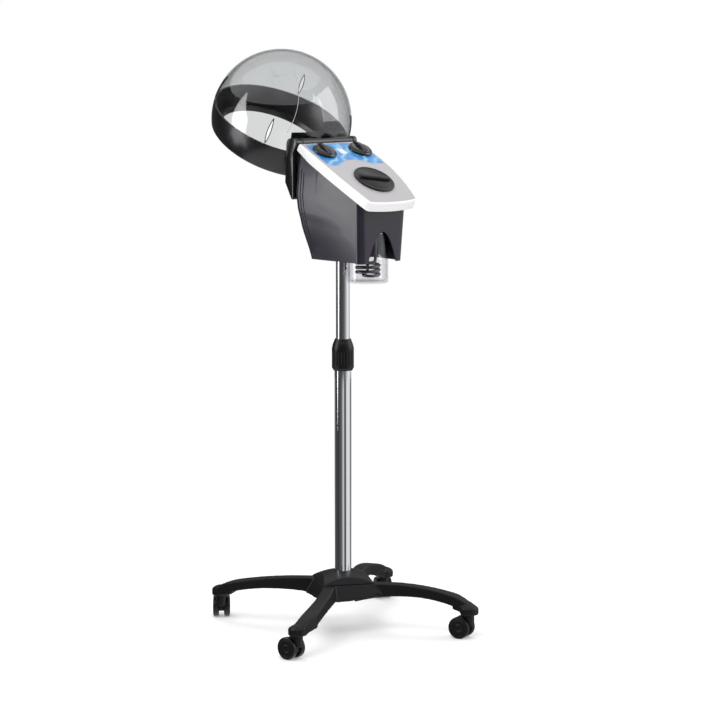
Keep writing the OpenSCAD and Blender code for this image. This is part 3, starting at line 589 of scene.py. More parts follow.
# %% Base and hub cover
def softened(node, name, body, finish, cell, rounds):
    """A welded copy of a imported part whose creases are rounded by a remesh; cell in mm."""
    piece = bpy.data.objects.new(name, nodes[node].data.copy())
    bpy.context.scene.collection.objects.link(piece)
    weld(piece)
    modify(piece, "REMESH", mode="VOXEL", voxel_size=cell * MM)
    modify(piece, "SMOOTH", factor=0.5, iterations=rounds)
    return fit(piece, body, finish, (node,), smooth=60.0)


softened("base_frame", "leg_moulding", "stand", BASE_PLASTIC, 2.0, 5)
softened("hub_cover", "hub_cover_moulding", "stand", BASE_PLASTIC, 1.0, 4)

# %% [markdown]
# ## The castors
# A twin castor is two wheels on one axle under a hood. The wheel is a lathe piece with a rounded
# tread and a sunk disc, so its section is drawn once, spun, and copied to all eight places.

# %% Castors
LEG_TURN = 30
BASE_RADIUS = 300
TRAIL = 19
WHEEL_RADIUS = 25
WHEEL_INNER = 6.5
AXLE_RADIUS = 2.9
CASTOR_HEADINGS = (60, 49, 98, 110)
WHEEL_PROFILE = [
    (0, 0), (20.5, 0), *arc((22, 3), 3, -90, 0, 5), *arc((22.2, 9.7), 2.8, 0, 90, 6),
    (20.4, 12.5), (19.7, 12.2), (19.3, 11.4), (18.6, 11.1), (9.4, 11.1), (8.6, 11.3),
    (7.9, 12.0), (7, 12.4), (3.4, 12.5), (3.0, 11.8), (0, 11.8),
]


def castor_place(index):
    """The frame of a castor: on the floor under its stem, turned to its heading."""
    angle = math.radians(LEG_TURN + 90 * index)
    foot = shift(BASE_RADIUS * math.cos(angle), BASE_RADIUS * math.sin(angle), 0)
    return foot @ turn(CASTOR_HEADINGS[index], "Z")


def make_wheels(index):
    """Both wheels of a castor and the axle between them."""
    place = castor_place(index) @ shift(TRAIL, 0, WHEEL_RADIUS)
    halves = []
    for side in (90, -90):
        wheel = turned("wheel", WHEEL_PROFILE, 64)
        halves.append(moved(wheel, place @ turn(side, "X") @ shift(0, 0, WHEEL_INNER)))
    axle = cylinder("axle", AXLE_RADIUS, -WHEEL_INNER - 1, WHEEL_INNER + 1, 32)
    halves.append(moved(axle, place @ turn(90, "X")))
    pair = joined(halves[0], halves[1:])
    number = index + 1
    pair.name = f"wheel_pair_{number}_turned"
    return fit(pair, f"wheel_pair_{number}", CASTOR_PLASTIC, (f"castor_wheels_{number}",), 40.0)


for index in range(4):
    make_wheels(index)
    softened(f"castor_housing_{index + 1}", f"castor_hood_{index + 1}", f"castor_{index + 1}",
             CASTOR_PLASTIC, 0.8, 3)

# %% [markdown]
# ## The locking collar
# The collar is gripped by hand, so it has shallow flutes on its straight part and a rounded
# shoulder above. One rule gives its radius from the height and the turn, so no cuts are needed.

# %% Collar
COLLAR_FOOT = 596
COLLAR_FLUTES = 18
FLUTE_DEPTH = 1.2
FLUTE_LOW = 9
FLUTE_HIGH = 46
FLUTE_FADE = 4
STEPS_PER_FLUTE = 14
COLLAR_OUTSIDE = [
    (19.3, 0), (19.8, 0), *arc((20.6, 1.6), 1.6, -100, -35, 4), (23.3, 3.9),
    *arc((22.4, 7.2), 2.6, -35, 0, 3), *[(25, z) for z in range(9, 49, 2)],
    (24.8, 50), (24.4, 52), (23.9, 54.5), (23.2, 57.5), (22.4, 60.3), (21.3, 63.2),
    (20.1, 66), (18.9, 68.8), *arc((16.9, 70.1), 1.7, 20, 95, 5),
]
COLLAR_INSIDE = [(15.9, 71.8), (15.9, 65), (19.25, 65), (19.25, 0.2), (19.3, 0)]


def make_collar():
    """The collar, wrapped by its profile with flutes between two heights."""
    profile = COLLAR_OUTSIDE + COLLAR_INSIDE
    outer = len(COLLAR_OUTSIDE)

    def rule(s, t):
        step = round(t * (len(profile) - 1))
        radius, height = profile[step]
        angle = 2 * math.pi * s
        if step < outer:
            wave = 0.5 + 0.5 * math.cos(COLLAR_FLUTES * angle)
            reach = (ease((height - FLUTE_LOW) / FLUTE_FADE)
                     * ease((FLUTE_HIGH - height) / FLUTE_FADE))
            radius -= FLUTE_DEPTH * reach * wave ** 3
        return Vector((radius * math.cos(angle), radius * math.sin(angle),
                       height + COLLAR_FOOT)) * MM

    collar = wrapped("collar_grip", COLLAR_FLUTES * STEPS_PER_FLUTE, len(profile) - 1, rule)
    return fit(collar, "locking_collar", COLLAR_PLASTIC, ("lock_collar",), 40.0)


make_collar()

# %% [markdown]
# ## The smoked dome
# The dome is moulded in clear, smoke-tinted plastic, 3 mm thick. A sphere is cut at the rim,
# given its wall, and pierced by four tall slits that let steam out, each with a thickened lip.
# The slits' walls and lips are dark and opaque, a painted shade for the dark look of the clear
# wall's cut edges.
# Two fine raised lines lean together over its front, where the parts of the mould meet; their
# pale colour is a painted highlight.

# %% Hood frame
RAKE = 28.5
HOOD_CENTRE = (0, 214, 1152)
HOOD_RADIUS = 160
BALL = {"segments": 160, "ring_count": 96}
hood_place = shift(*HOOD_CENTRE) @ turn(RAKE, "X")

# %% Dome
DOME_WALL = 3
SLIT_LENGTH = 58
SLIT_WIDTH = 8
SLIT_LOW = 3
SLIT_TURNS = (50.4, -50.4, 129.6, -129.6)
SLIT_MIDDLE = SLIT_LOW + SLIT_LENGTH / 2
SLIT_BOW = ((SLIT_LENGTH / 2) ** 2 + (SLIT_WIDTH / 2) ** 2) / SLIT_WIDTH
SLIT_SPAN = math.degrees(math.asin(SLIT_LENGTH / 2 / SLIT_BOW))
SLIT_OFFSET = SLIT_BOW - SLIT_WIDTH / 2
TOOL_START = HOOD_RADIUS - 25
TOOL_DEPTH = 35
LIP_RADIUS = 1.0
LIP_SINK = 0.3
SEAM_HALF = 90
SEAM_LEAN = 0.393
SEAM_LOW = 42
SEAM_HIGH = 148
SEAM_WIDTH = 1.6
SEAM_RISE = 0.9
SEAM_SINK = 0.6


def slit_side(side, steps):
    """One bowed edge of a slit from tip to tip, as (y, z); side is 1 or -1."""
    start = -SLIT_SPAN if side > 0 else 180 - SLIT_SPAN
    edge = arc((-side * SLIT_OFFSET, 0), SLIT_BOW, start, start + 2 * SLIT_SPAN, steps)
    return [(y, z + SLIT_MIDDLE) for y, z in edge]


def slit_tool(bearing):
    """A tall lens, pushed through the wall at one side of the dome."""
    lens = slit_side(1, 12) + slit_side(-1, 12)[1:-1]
    outline = [Vector((TOOL_START, y, z)) * MM for y, z in lens]
    tool = extruded("slit_tool", outline, (TOOL_DEPTH * MM, 0, 0))
    return moved(tool, turn(bearing - 90, "Z"))


def slit_lips(bearing):
    """The thickened edges of a slit: two fine beads that meet at its tips, coloured in the
    painted shade.
    """
    lips = []
    for side in (1, -1):
        path = [Vector((math.sqrt(HOOD_RADIUS ** 2 - y ** 2 - z ** 2) - LIP_SINK, y, z))
                for y, z in slit_side(side, 16)]
        lip = tube("slit_lip", path, [LIP_RADIUS] * len(path), 8)
        lip.data.materials.append(SLIT_PAINTED_SHADE)
        lips.append(moved(lip, turn(bearing - 90, "Z")))
    return lips


def seam(side):
    """A raised line on the front of the dome; side is 1 or -1."""
    def rule(s, t):
        corner = round(s * 4)
        across = (0, 0.5, 1, 0.5, 0)[corner] * SEAM_WIDTH
        rise = SEAM_RISE if corner in (1, 2) else -SEAM_SINK
        height = SEAM_LOW + (SEAM_HIGH - SEAM_LOW) * t
        x = side * (SEAM_HALF - SEAM_LEAN * (height - SEAM_LOW) + across)
        radius = HOOD_RADIUS + rise
        return Vector((x, -math.sqrt(radius ** 2 - x ** 2 - height ** 2), height)) * MM

    return wrapped("seam", 4, 60, rule)


def make_dome():
    """A ball cut at the rim, given its wall, its slits and its lines."""
    bpy.ops.object.select_all(action="DESELECT")
    bpy.ops.mesh.primitive_uv_sphere_add(radius=HOOD_RADIUS * MM, **BALL)
    dome = bpy.context.object
    dome.name = "smoked_dome"
    take(dome)
    bpy.ops.object.mode_set(mode="EDIT")
    bpy.ops.mesh.select_all(action="SELECT")
    bpy.ops.mesh.bisect(plane_co=(0, 0, FINE), plane_no=(0, 0, 1), clear_inner=True)
    bpy.ops.object.mode_set(mode="OBJECT")
    modify(dome, "SOLIDIFY", thickness=DOME_WALL * MM, offset=-1.0)
    for bearing in SLIT_TURNS:
        cut(dome, slit_tool(bearing))
    rounded(dome, 0.4, 2, 50)
    dome.data.materials.append(SMOKED)
    # The walls across the slits take the dark painted shade as a second material.
    dome.data.materials.append(SLIT_PAINTED_SHADE)
    for face in dome.data.polygons:
        across_wall = abs(face.normal.dot(face.center.normalized())) < 0.6
        if across_wall and face.center.z > 1 * MM:
            face.material_index = 1
    raised = [seam(1), seam(-1)]
    # The seam lines carry a pale painted highlight.
    for piece in raised:
        piece.data.materials.append(SEAM_PAINTED_HIGHLIGHT)
    for bearing in SLIT_TURNS:
        raised += slit_lips(bearing)
    joined(dome, raised)
    moved(dome, hood_place)
    return fit(dome, "hood", None, ("hood_dome",))


make_dome()

# %% [markdown]
# ## The skirt
# Below the rim runs a black skirt with a drip channel on its inner floor. Its section is drawn
# once and spun round, tipped a little further than the rim, and cut off level with the rim.

# %% Skirt
SKIRT_DEPTH = 61
SKIRT_WALL = 4
SKIRT_TILT = 3
CHANNEL_RADIUS = 128
CHANNEL_HEIGHT = 14
CHANNEL_WALL = 3
STEAM_PORT = (-18, 1054)
PORT_RADIUS = 9
TONGUE_GAP = 0.3
TONGUE_WALL = 3.6
TONGUE_SPAN = (-9, 5)


def port_tool(radius, low, high):
    """A bar along Y that opens the way for the steam."""
    place = shift(STEAM_PORT[0], 0, STEAM_PORT[1]) @ turn(-90, "X")
    return moved(cylinder("port", radius, low, high), place)


def skirt_profile():
    """The section: up the outside, down the inside, over the floor and the channel's lip."""
    low = math.degrees(math.asin(-SKIRT_DEPTH / HOOD_RADIUS))
    inner = HOOD_RADIUS - SKIRT_WALL
    inner_low = math.degrees(math.asin((-SKIRT_DEPTH + CHANNEL_WALL) / inner))
    outside = arc((0, 0), HOOD_RADIUS, low + 1.0, 5, 24)
    inside = arc((0, 0), inner, 5, inner_low, 24)
    lip = CHANNEL_RADIUS + CHANNEL_WALL
    top = -SKIRT_DEPTH + CHANNEL_HEIGHT
    crest = arc((lip - CHANNEL_WALL / 2, top - CHANNEL_WALL / 2), CHANNEL_WALL / 2, 0, 180, 6)
    corner = HOOD_RADIUS * math.cos(math.radians(low)) - 3
    bead = [(corner - 6, -SKIRT_DEPTH), (corner, -SKIRT_DEPTH),
            (corner + 1.6, -SKIRT_DEPTH + 0.5)]
    return [*outside, *inside, (lip, -SKIRT_DEPTH + CHANNEL_WALL), *crest,
            (CHANNEL_RADIUS, -SKIRT_DEPTH), *bead, outside[0]]


def make_skirt():
    """The spun section, cut level with the rim, with the tongue inside the dome."""
    skirt = turned("skirt_shell", skirt_profile(), 180)
    moved(skirt, turn(SKIRT_TILT, "X"))
    take(skirt)
    bpy.ops.object.mode_set(mode="EDIT")
    bpy.ops.mesh.select_all(action="SELECT")
    bpy.ops.mesh.bisect(plane_co=(0, 0, 0), plane_no=(0, 0, 1), use_fill=True, clear_outer=True)
    bpy.ops.object.mode_set(mode="OBJECT")
    tongue_out = HOOD_RADIUS - DOME_WALL - TONGUE_GAP
    tongue_in = tongue_out - TONGUE_WALL
    lean = [math.degrees(math.asin(z / tongue_out)) for z in TONGUE_SPAN]
    ring = arc((0, 0), tongue_out, *lean, 8) + arc((0, 0), tongue_in, *lean[::-1], 8)
    joined(skirt, [turned("tongue", ring + ring[:1], 180)])
    moved(skirt, hood_place)
    cut(skirt, port_tool(PORT_RADIUS, 0, 130))
    return fit(skirt, "hood", SKIRT_GLOSS, ("hood_skirt",))


make_skirt()

# %% [markdown]
# ## The hood's bracket
# A solid black block joins the hood to the hinge. Its side view is drawn and pulled across the
# full width, its edges are rounded, and a sphere hollows its back so that the hood beds in it.

# %% Bracket
HINGE = (64.5, 1107)
BRACKET_HALF = 90
BRACKET_FRONT = 65.5
BRACKET_BACK = 93
BRACKET_FOOT = 981
BARREL_RADIUS = 10
LUG_LOW = 67.5
LUG_HIGH = 80.5
BED_GAP = 0.3


def make_bracket():
    """The side view pulled across, with its bed, lug slots and steam port."""
    side = [(68.5, BRACKET_FOOT), (BRACKET_FRONT, BRACKET_FOOT + 4), (BRACKET_FRONT, 1085),
            *arc(HINGE, BARREL_RADIUS, 195, 90, 14), *arc((74, 1103), 14, 90, 0, 10),
            (BRACKET_BACK, BRACKET_FOOT + 38), (72, BRACKET_FOOT + 2), (69, BRACKET_FOOT)]
    outline = [Vector((-BRACKET_HALF, y, z)) * MM for y, z in side]
    bracket = extruded("hood_bracket_block", outline, (2 * BRACKET_HALF * MM, 0, 0))
    rounded(bracket, 2.2, 4, 50)
    bpy.ops.object.select_all(action="DESELECT")
    bpy.ops.mesh.primitive_uv_sphere_add(radius=(HOOD_RADIUS + BED_GAP) * MM, **BALL)
    ball = bpy.context.object
    cut(bracket, moved(ball, shift(*HOOD_CENTRE)))
    for low, high in ((LUG_LOW, LUG_HIGH), (-LUG_HIGH, -LUG_LOW)):
        cut(bracket, block("slot", (low, 44.5, 1041), (high, 72.5, 1116)))
    cut(bracket, port_tool(PORT_RADIUS, 0, 130))
    return fit(bracket, "hood", BLACK_GLOSS, ("hood_bracket",), 30.0)


make_bracket()

# %% [markdown]
# ## The control panel
# The raked top is a silver-painted moulding, turned down all round and crowned from back to
# front; its rim is painted near white as a painted highlight. Its outline is two long arcs, a
# bowed nose and two round corners. Copies of the outline, each smaller and higher, give the side,
# the rounded edge and the crown.

# %% Panel frame
PANEL_FOOT = (0, 49, 1107)
PANEL_LENGTH = 256
CROWN = 6
CROWN_RADIUS = (PANEL_LENGTH / 2) ** 2 / (2 * CROWN) + CROWN / 2
SIDE_RADIUS = 650
SIDE_MIDDLE = (-560, -85)
NOSE_RADIUS = 400
NOSE_MIDDLE = (0, 144)
CORNER_RADIUS = 12
panel_place = shift(*PANEL_FOOT) @ turn(RAKE, "X")


def crown(v):
    """Height of the panel's face at a distance from its back edge."""
    return CROWN - CROWN_RADIUS + math.sqrt(CROWN_RADIUS ** 2 - (v - PANEL_LENGTH / 2) ** 2)


def half_width(v):
    """Half the panel's width at a distance from its back edge."""
    return SIDE_MIDDLE[0] + math.sqrt(SIDE_RADIUS ** 2 - (v + SIDE_MIDDLE[1]) ** 2)


def panel_at(u, v):
    """A frame on the crowned face, square to it."""
    lean = math.degrees(math.asin((PANEL_LENGTH / 2 - v) / CROWN_RADIUS))
    return (panel_place @ shift(u, -PANEL_LENGTH / 2, CROWN - CROWN_RADIUS)
            @ turn(-lean, "X") @ shift(0, 0, CROWN_RADIUS))


def crossing(first, first_radius, second, second_radius):
    """The right-hand point where two circles cross."""
    first, second = Vector(first), Vector(second)
    gap = second - first
    along = (gap.length_squared + first_radius ** 2 - second_radius ** 2) / (2 * gap.length)
    out = math.sqrt(first_radius ** 2 - along ** 2)
    way = gap.normalized()
    return first + way * along + Vector((way.y, -way.x)) * out


def heading(start, end):
    """The angle of a line in degrees."""
    return math.degrees(math.atan2(end[1] - start[1], end[0] - start[0]))


CORNER = crossing(SIDE_MIDDLE, SIDE_RADIUS - CORNER_RADIUS,
                  NOSE_MIDDLE, NOSE_RADIUS - CORNER_RADIUS)


def panel_loop(inset):
    """The panel's outline, drawn in by an inset: points (u, y) from the back round and back."""
    start = math.degrees(math.asin((-SIDE_MIDDLE[1] - inset) / (SIDE_RADIUS - inset)))
    side_end = heading(SIDE_MIDDLE, CORNER)
    nose_start = heading(NOSE_MIDDLE, CORNER)
    side = arc(SIDE_MIDDLE, SIDE_RADIUS - inset, start, side_end, 48)
    corner = arc(CORNER, CORNER_RADIUS - inset, side_end, nose_start, 12)[1:]
    nose = arc(NOSE_MIDDLE, NOSE_RADIUS - inset, nose_start, -90, 20)[1:]
    back = line((0, -inset), side[0], 14)
    right = back + side + corner + nose
    left = [(-u, y) for u, y in right[-2::-1]]
    return right + left

# %% Panel
RIM_DEPTH = 19
RIM_EXTRA = 5
PANEL_WALL = 3.2
EDGE_ROUND = 6
FACE_RINGS = 26
RIM_FADE = 60
KNOB_PLACES = ((-49, 48), (55, 48))
SHAFT_HOLE = 5
CAP_V = 172
CAP_HOLE = 37.15
rows = [(0.8, -RIM_DEPTH, 0), (0.2, -RIM_DEPTH + 0.5, 0), (0, -RIM_DEPTH + 1.4, 0), (0, -9, 0)]
for step in range(9):
    lean = math.radians(90 * step / 8)
    rows.append((EDGE_ROUND * (1 - math.cos(lean)), EDGE_ROUND * (math.sin(lean) - 1), 0))
rows += [(EDGE_ROUND, 0, step / FACE_RINGS) for step in range(1, FACE_RINGS + 1)]


def make_panel():
    """The panel from its rows of outlines, with the holes for cap and shafts."""
    loops = [panel_loop(row[0]) for row in rows]
    count = len(loops[0]) - 1

    def rule(s, t):
        row = round(t * (len(rows) - 1))
        inset, drop, shrink = rows[row]
        u, y = loops[row][round(s * count)]
        u *= 1 - shrink
        y += (-PANEL_LENGTH / 2 - y) * shrink
        if drop < -RIM_DEPTH / 2:
            drop -= RIM_EXTRA * ease(-y / RIM_FADE)
        return Vector((u, y, crown(-y) + drop)) * MM

    panel = wrapped("panel_shell", count, len(rows) - 1, rule)
    modify(panel, "SOLIDIFY", thickness=PANEL_WALL * MM, offset=-1.0)
    moved(panel, panel_place)
    cut(panel, moved(cylinder("hole", CAP_HOLE, -30, 30, 96), panel_at(0, CAP_V)))
    for u, v in KNOB_PLACES:
        cut(panel, moved(cylinder("hole", SHAFT_HOLE, -30, 30, 32), panel_at(u, v)))
    # The rim share marks the turned-down sides, where the paint carries its painted highlight.
    rim = panel.data.attributes.new("rim", "FLOAT", "POINT")
    back = panel_place.inverted()
    for point in panel.data.vertices:
        spot = back @ point.co / MM
        rim.data[point.index].value = ease((crown(-spot.y) - spot.z - 0.5) / 1.1)
    return fit(panel, "head", PANEL_PAINT_AND_RIM_HIGHLIGHT, ("control_panel",), 32.0)


make_panel()

# %% [markdown]
# ## The panel's film
# A printed film covers the back of the panel and curves round the filler cap. A grid is laid
# between its two curved edges, on the crown, and keeps its own flat map for the printed waves.

# %% Film
FILM_INSET = 10
FILM_LOW = 106
FILM_ARC = 61
FILM_ARC_V = 146
FILM_THICKNESS = 0.45
FILM_SHEET = 200


def film_end(u):
    """Where the film ends below: straight at the sides, round the cap in the middle."""
    inside = FILM_ARC ** 2 - u ** 2
    return min(FILM_LOW, FILM_ARC_V - math.sqrt(inside)) if inside > 0 else FILM_LOW


def film_spot(s, t):
    """Place (u, v) on the film from two shares."""
    across = 2 * s - 1
    u = across * (half_width(60) - FILM_INSET)
    for _ in range(4):
        v = FILM_INSET + (film_end(u) - FILM_INSET) * t
        u = across * (half_width(v) - FILM_INSET)
    return u, v


def make_film():
    """The film on the crown, a little above the paint."""
    def rule(s, t):
        u, v = film_spot(s, t)
        return Vector((u, -v, crown(v) + FILM_THICKNESS)) * MM

    film = wrapped("panel_film", 120, 48, rule, merge=False)
    modify(film, "SOLIDIFY", thickness=(FILM_THICKNESS - 0.02) * MM, offset=-1.0)
    film_map = film.data.uv_layers.active or film.data.uv_layers.new(name="UVMap")
    for loop in film.data.loops:
        spot = film.data.vertices[loop.vertex_index].co / MM
        film_map.data[loop.index].uv = (0.5 + spot.x / FILM_SHEET, -spot.y / FILM_SHEET)
    moved(film, panel_place)
    return fit(film, "head", LABEL_FILM, ("panel_label",), 30.0)


make_film()

# %% [markdown]
# ## Knobs and filler cap
# Both knobs are lathe pieces with a curved grip ridge across them. The ridge is drawn from the
# side as a low arch and pulled to its width, so it rises gently from the disc at both ends.

# %% Knobs
KNOB_LIFT = 1
KNOB_PROFILE = [(0, 0.2), (24.5, 0.2), *arc((26, 2.2), 2, -90, 0, 5), (27.9, 3.2), (27.0, 4.4),
                (25.2, 6.2), (23.0, 7.9), *arc((19.5, 4.6), 4.4, 60, 90, 4), (12, 8.7), (0, 8.4)]
RIDGE_HALF = 5.6
RIDGE_REACH = 25.2
RIDGE_FOOT = 4
RIDGE_BOW = 60
RIDGE_SPAN = 25
RIDGE_CENTRE = (0, -45.2)
SHAFT_RADIUS = 3


def make_knob(control, place):
    """The knob of one control; its node and its body are named after the control."""
    knob = turned("knob", [(r, z + KNOB_LIFT) for r, z in KNOB_PROFILE], 128)
    side = [*arc(RIDGE_CENTRE, RIDGE_BOW, 90 - RIDGE_SPAN, 90 + RIDGE_SPAN, 24),
            (-RIDGE_REACH, RIDGE_FOOT), (RIDGE_REACH, RIDGE_FOOT)]
    outline = [Vector((-RIDGE_HALF, y, z + KNOB_LIFT)) * MM for y, z in side]
    ridge = extruded("ridge", outline, (2 * RIDGE_HALF * MM, 0, 0))
    rounded(ridge, 2.4, 4, 50)
    shaft = cylinder("shaft", SHAFT_RADIUS, -12, 4, 32)
    joined(knob, [ridge, shaft])
    knob.name = f"{control}_dial_knob"
    moved(knob, panel_at(*place))
    return fit(knob, f"{control}_dial", KNOB_GLOSS, (f"{control}_knob",), 40.0)


for control, place in zip(("timer", "steam"), KNOB_PLACES):
    make_knob(control, place)

# %% Filler cap
CAP_PROFILE = [(0, -7.6), (31, -7.6), (31, 0.4), (45.2, 0.4), *arc((46, 1.4), 1, -90, 0, 4),
               *arc((45.6, 3), 1.4, 0, 90, 5), (41.8, 4.4), (41.2, 3.9), (39.8, 3.9),
               (39.2, 4.4), (0, 4.4)]
CAP_TURN = -13
BAR_HALF = 39
BAR_SIDE = 6
BAR_FOOT = 3.6
BAR_TOP = 11.4
BAR_TAPER = (0.93, 0.84)


def make_cap():
    """The cap and its grip bar, which narrows upwards."""
    cap = turned("cap", CAP_PROFILE, 144)
    bar = block("bar", (-BAR_HALF, -BAR_SIDE, BAR_FOOT), (BAR_HALF, BAR_SIDE, BAR_TOP))
    for point in bar.data.vertices:
        if point.co.z > BAR_FOOT * MM + FINE:
            point.co.x *= BAR_TAPER[0]
            point.co.y *= BAR_TAPER[1]
    rounded(bar, 2.6, 4, 50)
    joined(cap, [moved(bar, turn(CAP_TURN, "Z"))])
    cap.name = "filler_cap_turned"
    moved(cap, panel_at(0, CAP_V))
    return fit(cap, "filler_top", CAP_PLASTIC, ("filler_cap",), 40.0)


make_cap()

# %% [markdown]
# ## The housing
# The housing is a thin satin moulding that widens from a rounded foot to the raked panel, with
# a swelling at its back edge. Each column of the grid runs from the foot's outline to the
# panel's, and the swelling is added to it, strongest at the back and nothing at the nose. An
# arch is cut for the jar, and bars laid in the wall cut its grooves and the slot in each side.

# %% Housing outlines
FOOT_Z = 850
HOUSING_WALL = 2.5
PANEL_GAP = 0.4
BACK_RADIUS = 8
NOSE_TURN = 16
FOOT_BACK = (70, 30)
FOOT_NOSE = (63, -132.5)
HEAD_BACK = (81.2, 4.5)
HEAD_NOSE = (71.3, 213.5)
SIDE_SPREAD = 0.0426
BEND_START = 90
BEND_LENGTH = 20
BEND_SHARE = 0.165
BULGE = ((0, 0, 0), (0.33, 18.5, 7.3), (0.453, 23.2, 9.4), (0.575, 24.4, 9.6),
         (0.75, 18.5, 6.2), (0.933, 9.5, 1.1), (1, 4, 0))
BULGE_FULL = 66
BACK_STEPS, BACK_CORNER, SIDE_STEPS, NOSE_CORNER, NOSE_STEPS = 10, 6, 44, 12, 10


def half_loop(back, nose, side, way):
    """Right half of an outline, from the middle of the back to the middle of the nose.

    The back and nose are where its straight edges would meet the sides; the way is 1 where the
    second number grows towards the nose, and -1 where it falls.
    """
    (back_x, back_y), (nose_x, nose_y) = back, nose
    back_middle = (back_x - BACK_RADIUS, back_y + way * BACK_RADIUS)
    nose_middle = (nose_x - NOSE_TURN, nose_y - way * NOSE_TURN)
    return (line((0, back_y), (back_middle[0], back_y), BACK_STEPS)
            + arc(back_middle, BACK_RADIUS, -90 * way, 0, BACK_CORNER)[:-1] + side
            + arc(nose_middle, NOSE_TURN, 0, 90 * way, NOSE_CORNER)[:-1]
            + line((nose_middle[0], nose_y), (0, nose_y), NOSE_STEPS) + [(0, nose_y)])


def foot_loop():
    """The foot's outline, as (x, y); its sides are straight."""
    first = (FOOT_BACK[0], FOOT_BACK[1] - BACK_RADIUS)
    last = (FOOT_NOSE[0], FOOT_NOSE[1] + NOSE_TURN)
    return half_loop(FOOT_BACK, FOOT_NOSE, line(first, last, SIDE_STEPS), -1)


def head_loop():
    """The same columns under the panel, as (u, v) on it; its sides bend in to the nose."""
    first = HEAD_BACK[1] + BACK_RADIUS
    length = HEAD_NOSE[1] - NOSE_TURN - first
    side = []
    for step in range(SIDE_STEPS):
        v = first + length * step / SIDE_STEPS
        bend = BEND_LENGTH * math.log(1 + math.exp((v - BEND_START) / BEND_LENGTH))
        side.append((HEAD_BACK[0] + SIDE_SPREAD * (v - first) - BEND_SHARE * bend, v))
    return half_loop(HEAD_BACK, HEAD_NOSE, side, 1)


def bulge(share):
    """Outward swelling of the back edge, (y, x) in mm, smoothed between the given heights."""
    for low, high in zip(BULGE, BULGE[1:]):
        if share <= high[0]:
            part = (share - low[0]) / (high[0] - low[0])
            part = 0.5 * part + 0.5 * ease(part)
            return [low[i] + (high[i] - low[i]) * part for i in (1, 2)]
    return BULGE[-1][1:]


foot, head = foot_loop(), head_loop()
side_start = BACK_STEPS + BACK_CORNER
side_end = side_start + SIDE_STEPS


def housing_spot(column, share):
    """A point of the outer wall, right half: column along the outline, share up the wall."""
    low = min(int(column), len(foot) - 2)
    part = column - low
    (x0, y0), (x1, y1) = foot[low], foot[low + 1]
    (u0, v0), (u1, v1) = head[low], head[low + 1]
    base = Vector((x0 + (x1 - x0) * part, y0 + (y1 - y0) * part, FOOT_Z))
    u, v = u0 + (u1 - u0) * part, v0 + (v1 - v0) * part
    top = panel_place @ (Vector((u, -v, crown(v) - PANEL_WALL - PANEL_GAP)) * MM) / MM
    spot = base + (top - base) * share
    weight = 1 - min(1, max(0, (column - side_start) / (side_end - side_start)))
    out_y, out_x = bulge(share)
    spot.y += out_y * weight
    spot.x += out_x * weight * min(1, spot.x / BULGE_FULL)
    return spot

# %% Housing
ARCH_HALF = 41
ARCH_HEIGHT = 67
GROOVES = 3
GROOVE_FIRST = 0.3
GROOVE_APART = 0.045
GROOVE_LOW = 0.05
GROOVE_HIGH = 0.84
GROOVE_SHORTER = 0.02
GROOVE_RADII = (1.3, 1.8)
SLOT_COLUMN = 0.33
SLOT_SPAN = (0.66, 0.94)
SLOT_RADII = (0.4, 1.5)
SEAL_RADIUS = 6.15
housing_levels = [0, 0.004, 0.012, *[0.03 + 0.97 * i / 40 for i in range(41)]]


def mirrored(spot, side):
    """The same spot on the right, 1, or the left, -1."""
    return Vector((spot.x * side, spot.y, spot.z))


def groove_tool(side, column, span, radii):
    """A round bar laid in the wall along one column, from the span's low end to its high end."""
    steps = [i / 30 for i in range(31)]
    shares = [span[0] + (span[1] - span[0]) * step for step in steps]
    path = [mirrored(housing_spot(column, share), side) for share in shares]
    return tube("groove", path, [radii[0] + (radii[1] - radii[0]) * step for step in steps], 12)


def make_housing():
    """The housing from its columns, with its arch, grooves, slots and port."""
    columns = len(foot) - 1

    def rule(s, t):
        column = s * 2 * columns
        level = housing_levels[round(t * (len(housing_levels) - 1))]
        if column <= columns:
            return housing_spot(column, level) * MM
        return mirrored(housing_spot(2 * columns - column, level), -1) * MM

    housing = wrapped("housing_shell", 2 * columns, len(housing_levels) - 1, rule)
    modify(housing, "SOLIDIFY", thickness=HOUSING_WALL * MM, offset=-1.0)
    steps = [-1 + 0.05 * i for i in range(41)]
    arch = [(ARCH_HALF, -5), (-ARCH_HALF, -5)]
    arch += [(ARCH_HALF * t, ARCH_HEIGHT * (1 - t * t)) for t in steps]
    outline = [Vector((x, -60, FOOT_Z + z)) * MM for x, z in arch]
    cut(housing, extruded("arch", outline, (0, -120 * MM, 0)))
    rounded(housing, 0.9, 3, 60)
    tools = []
    for side in (1, -1):
        for i in range(GROOVES):
            column = side_start + SIDE_STEPS * (i + GROOVE_FIRST) * GROOVE_APART
            span = (GROOVE_LOW, GROOVE_HIGH - GROOVE_SHORTER * i)
            tools.append(groove_tool(side, column, span, GROOVE_RADII))
        column = side_start + SIDE_STEPS * SLOT_COLUMN
        tools.append(groove_tool(side, column, SLOT_SPAN, SLOT_RADII))
    cut(housing, joined(tools[0], tools[1:]))
    cut(housing, port_tool(SEAL_RADIUS, 20, 75))
    return fit(housing, "head", HOUSING_PLASTIC, ("head_housing",), 35.0)


make_housing()

# %% [markdown]
# ## The plate inside the housing
# The metal plate that carries the works fills the housing's plan. The visible wall is drawn in
# a little at the nose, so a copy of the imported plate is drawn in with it.

# %% Plate
PLATE_NOSE = -96
PLATE_SQUEEZE = 0.72
PLATE_EDGE = 50
PLATE_NARROW = 0.9


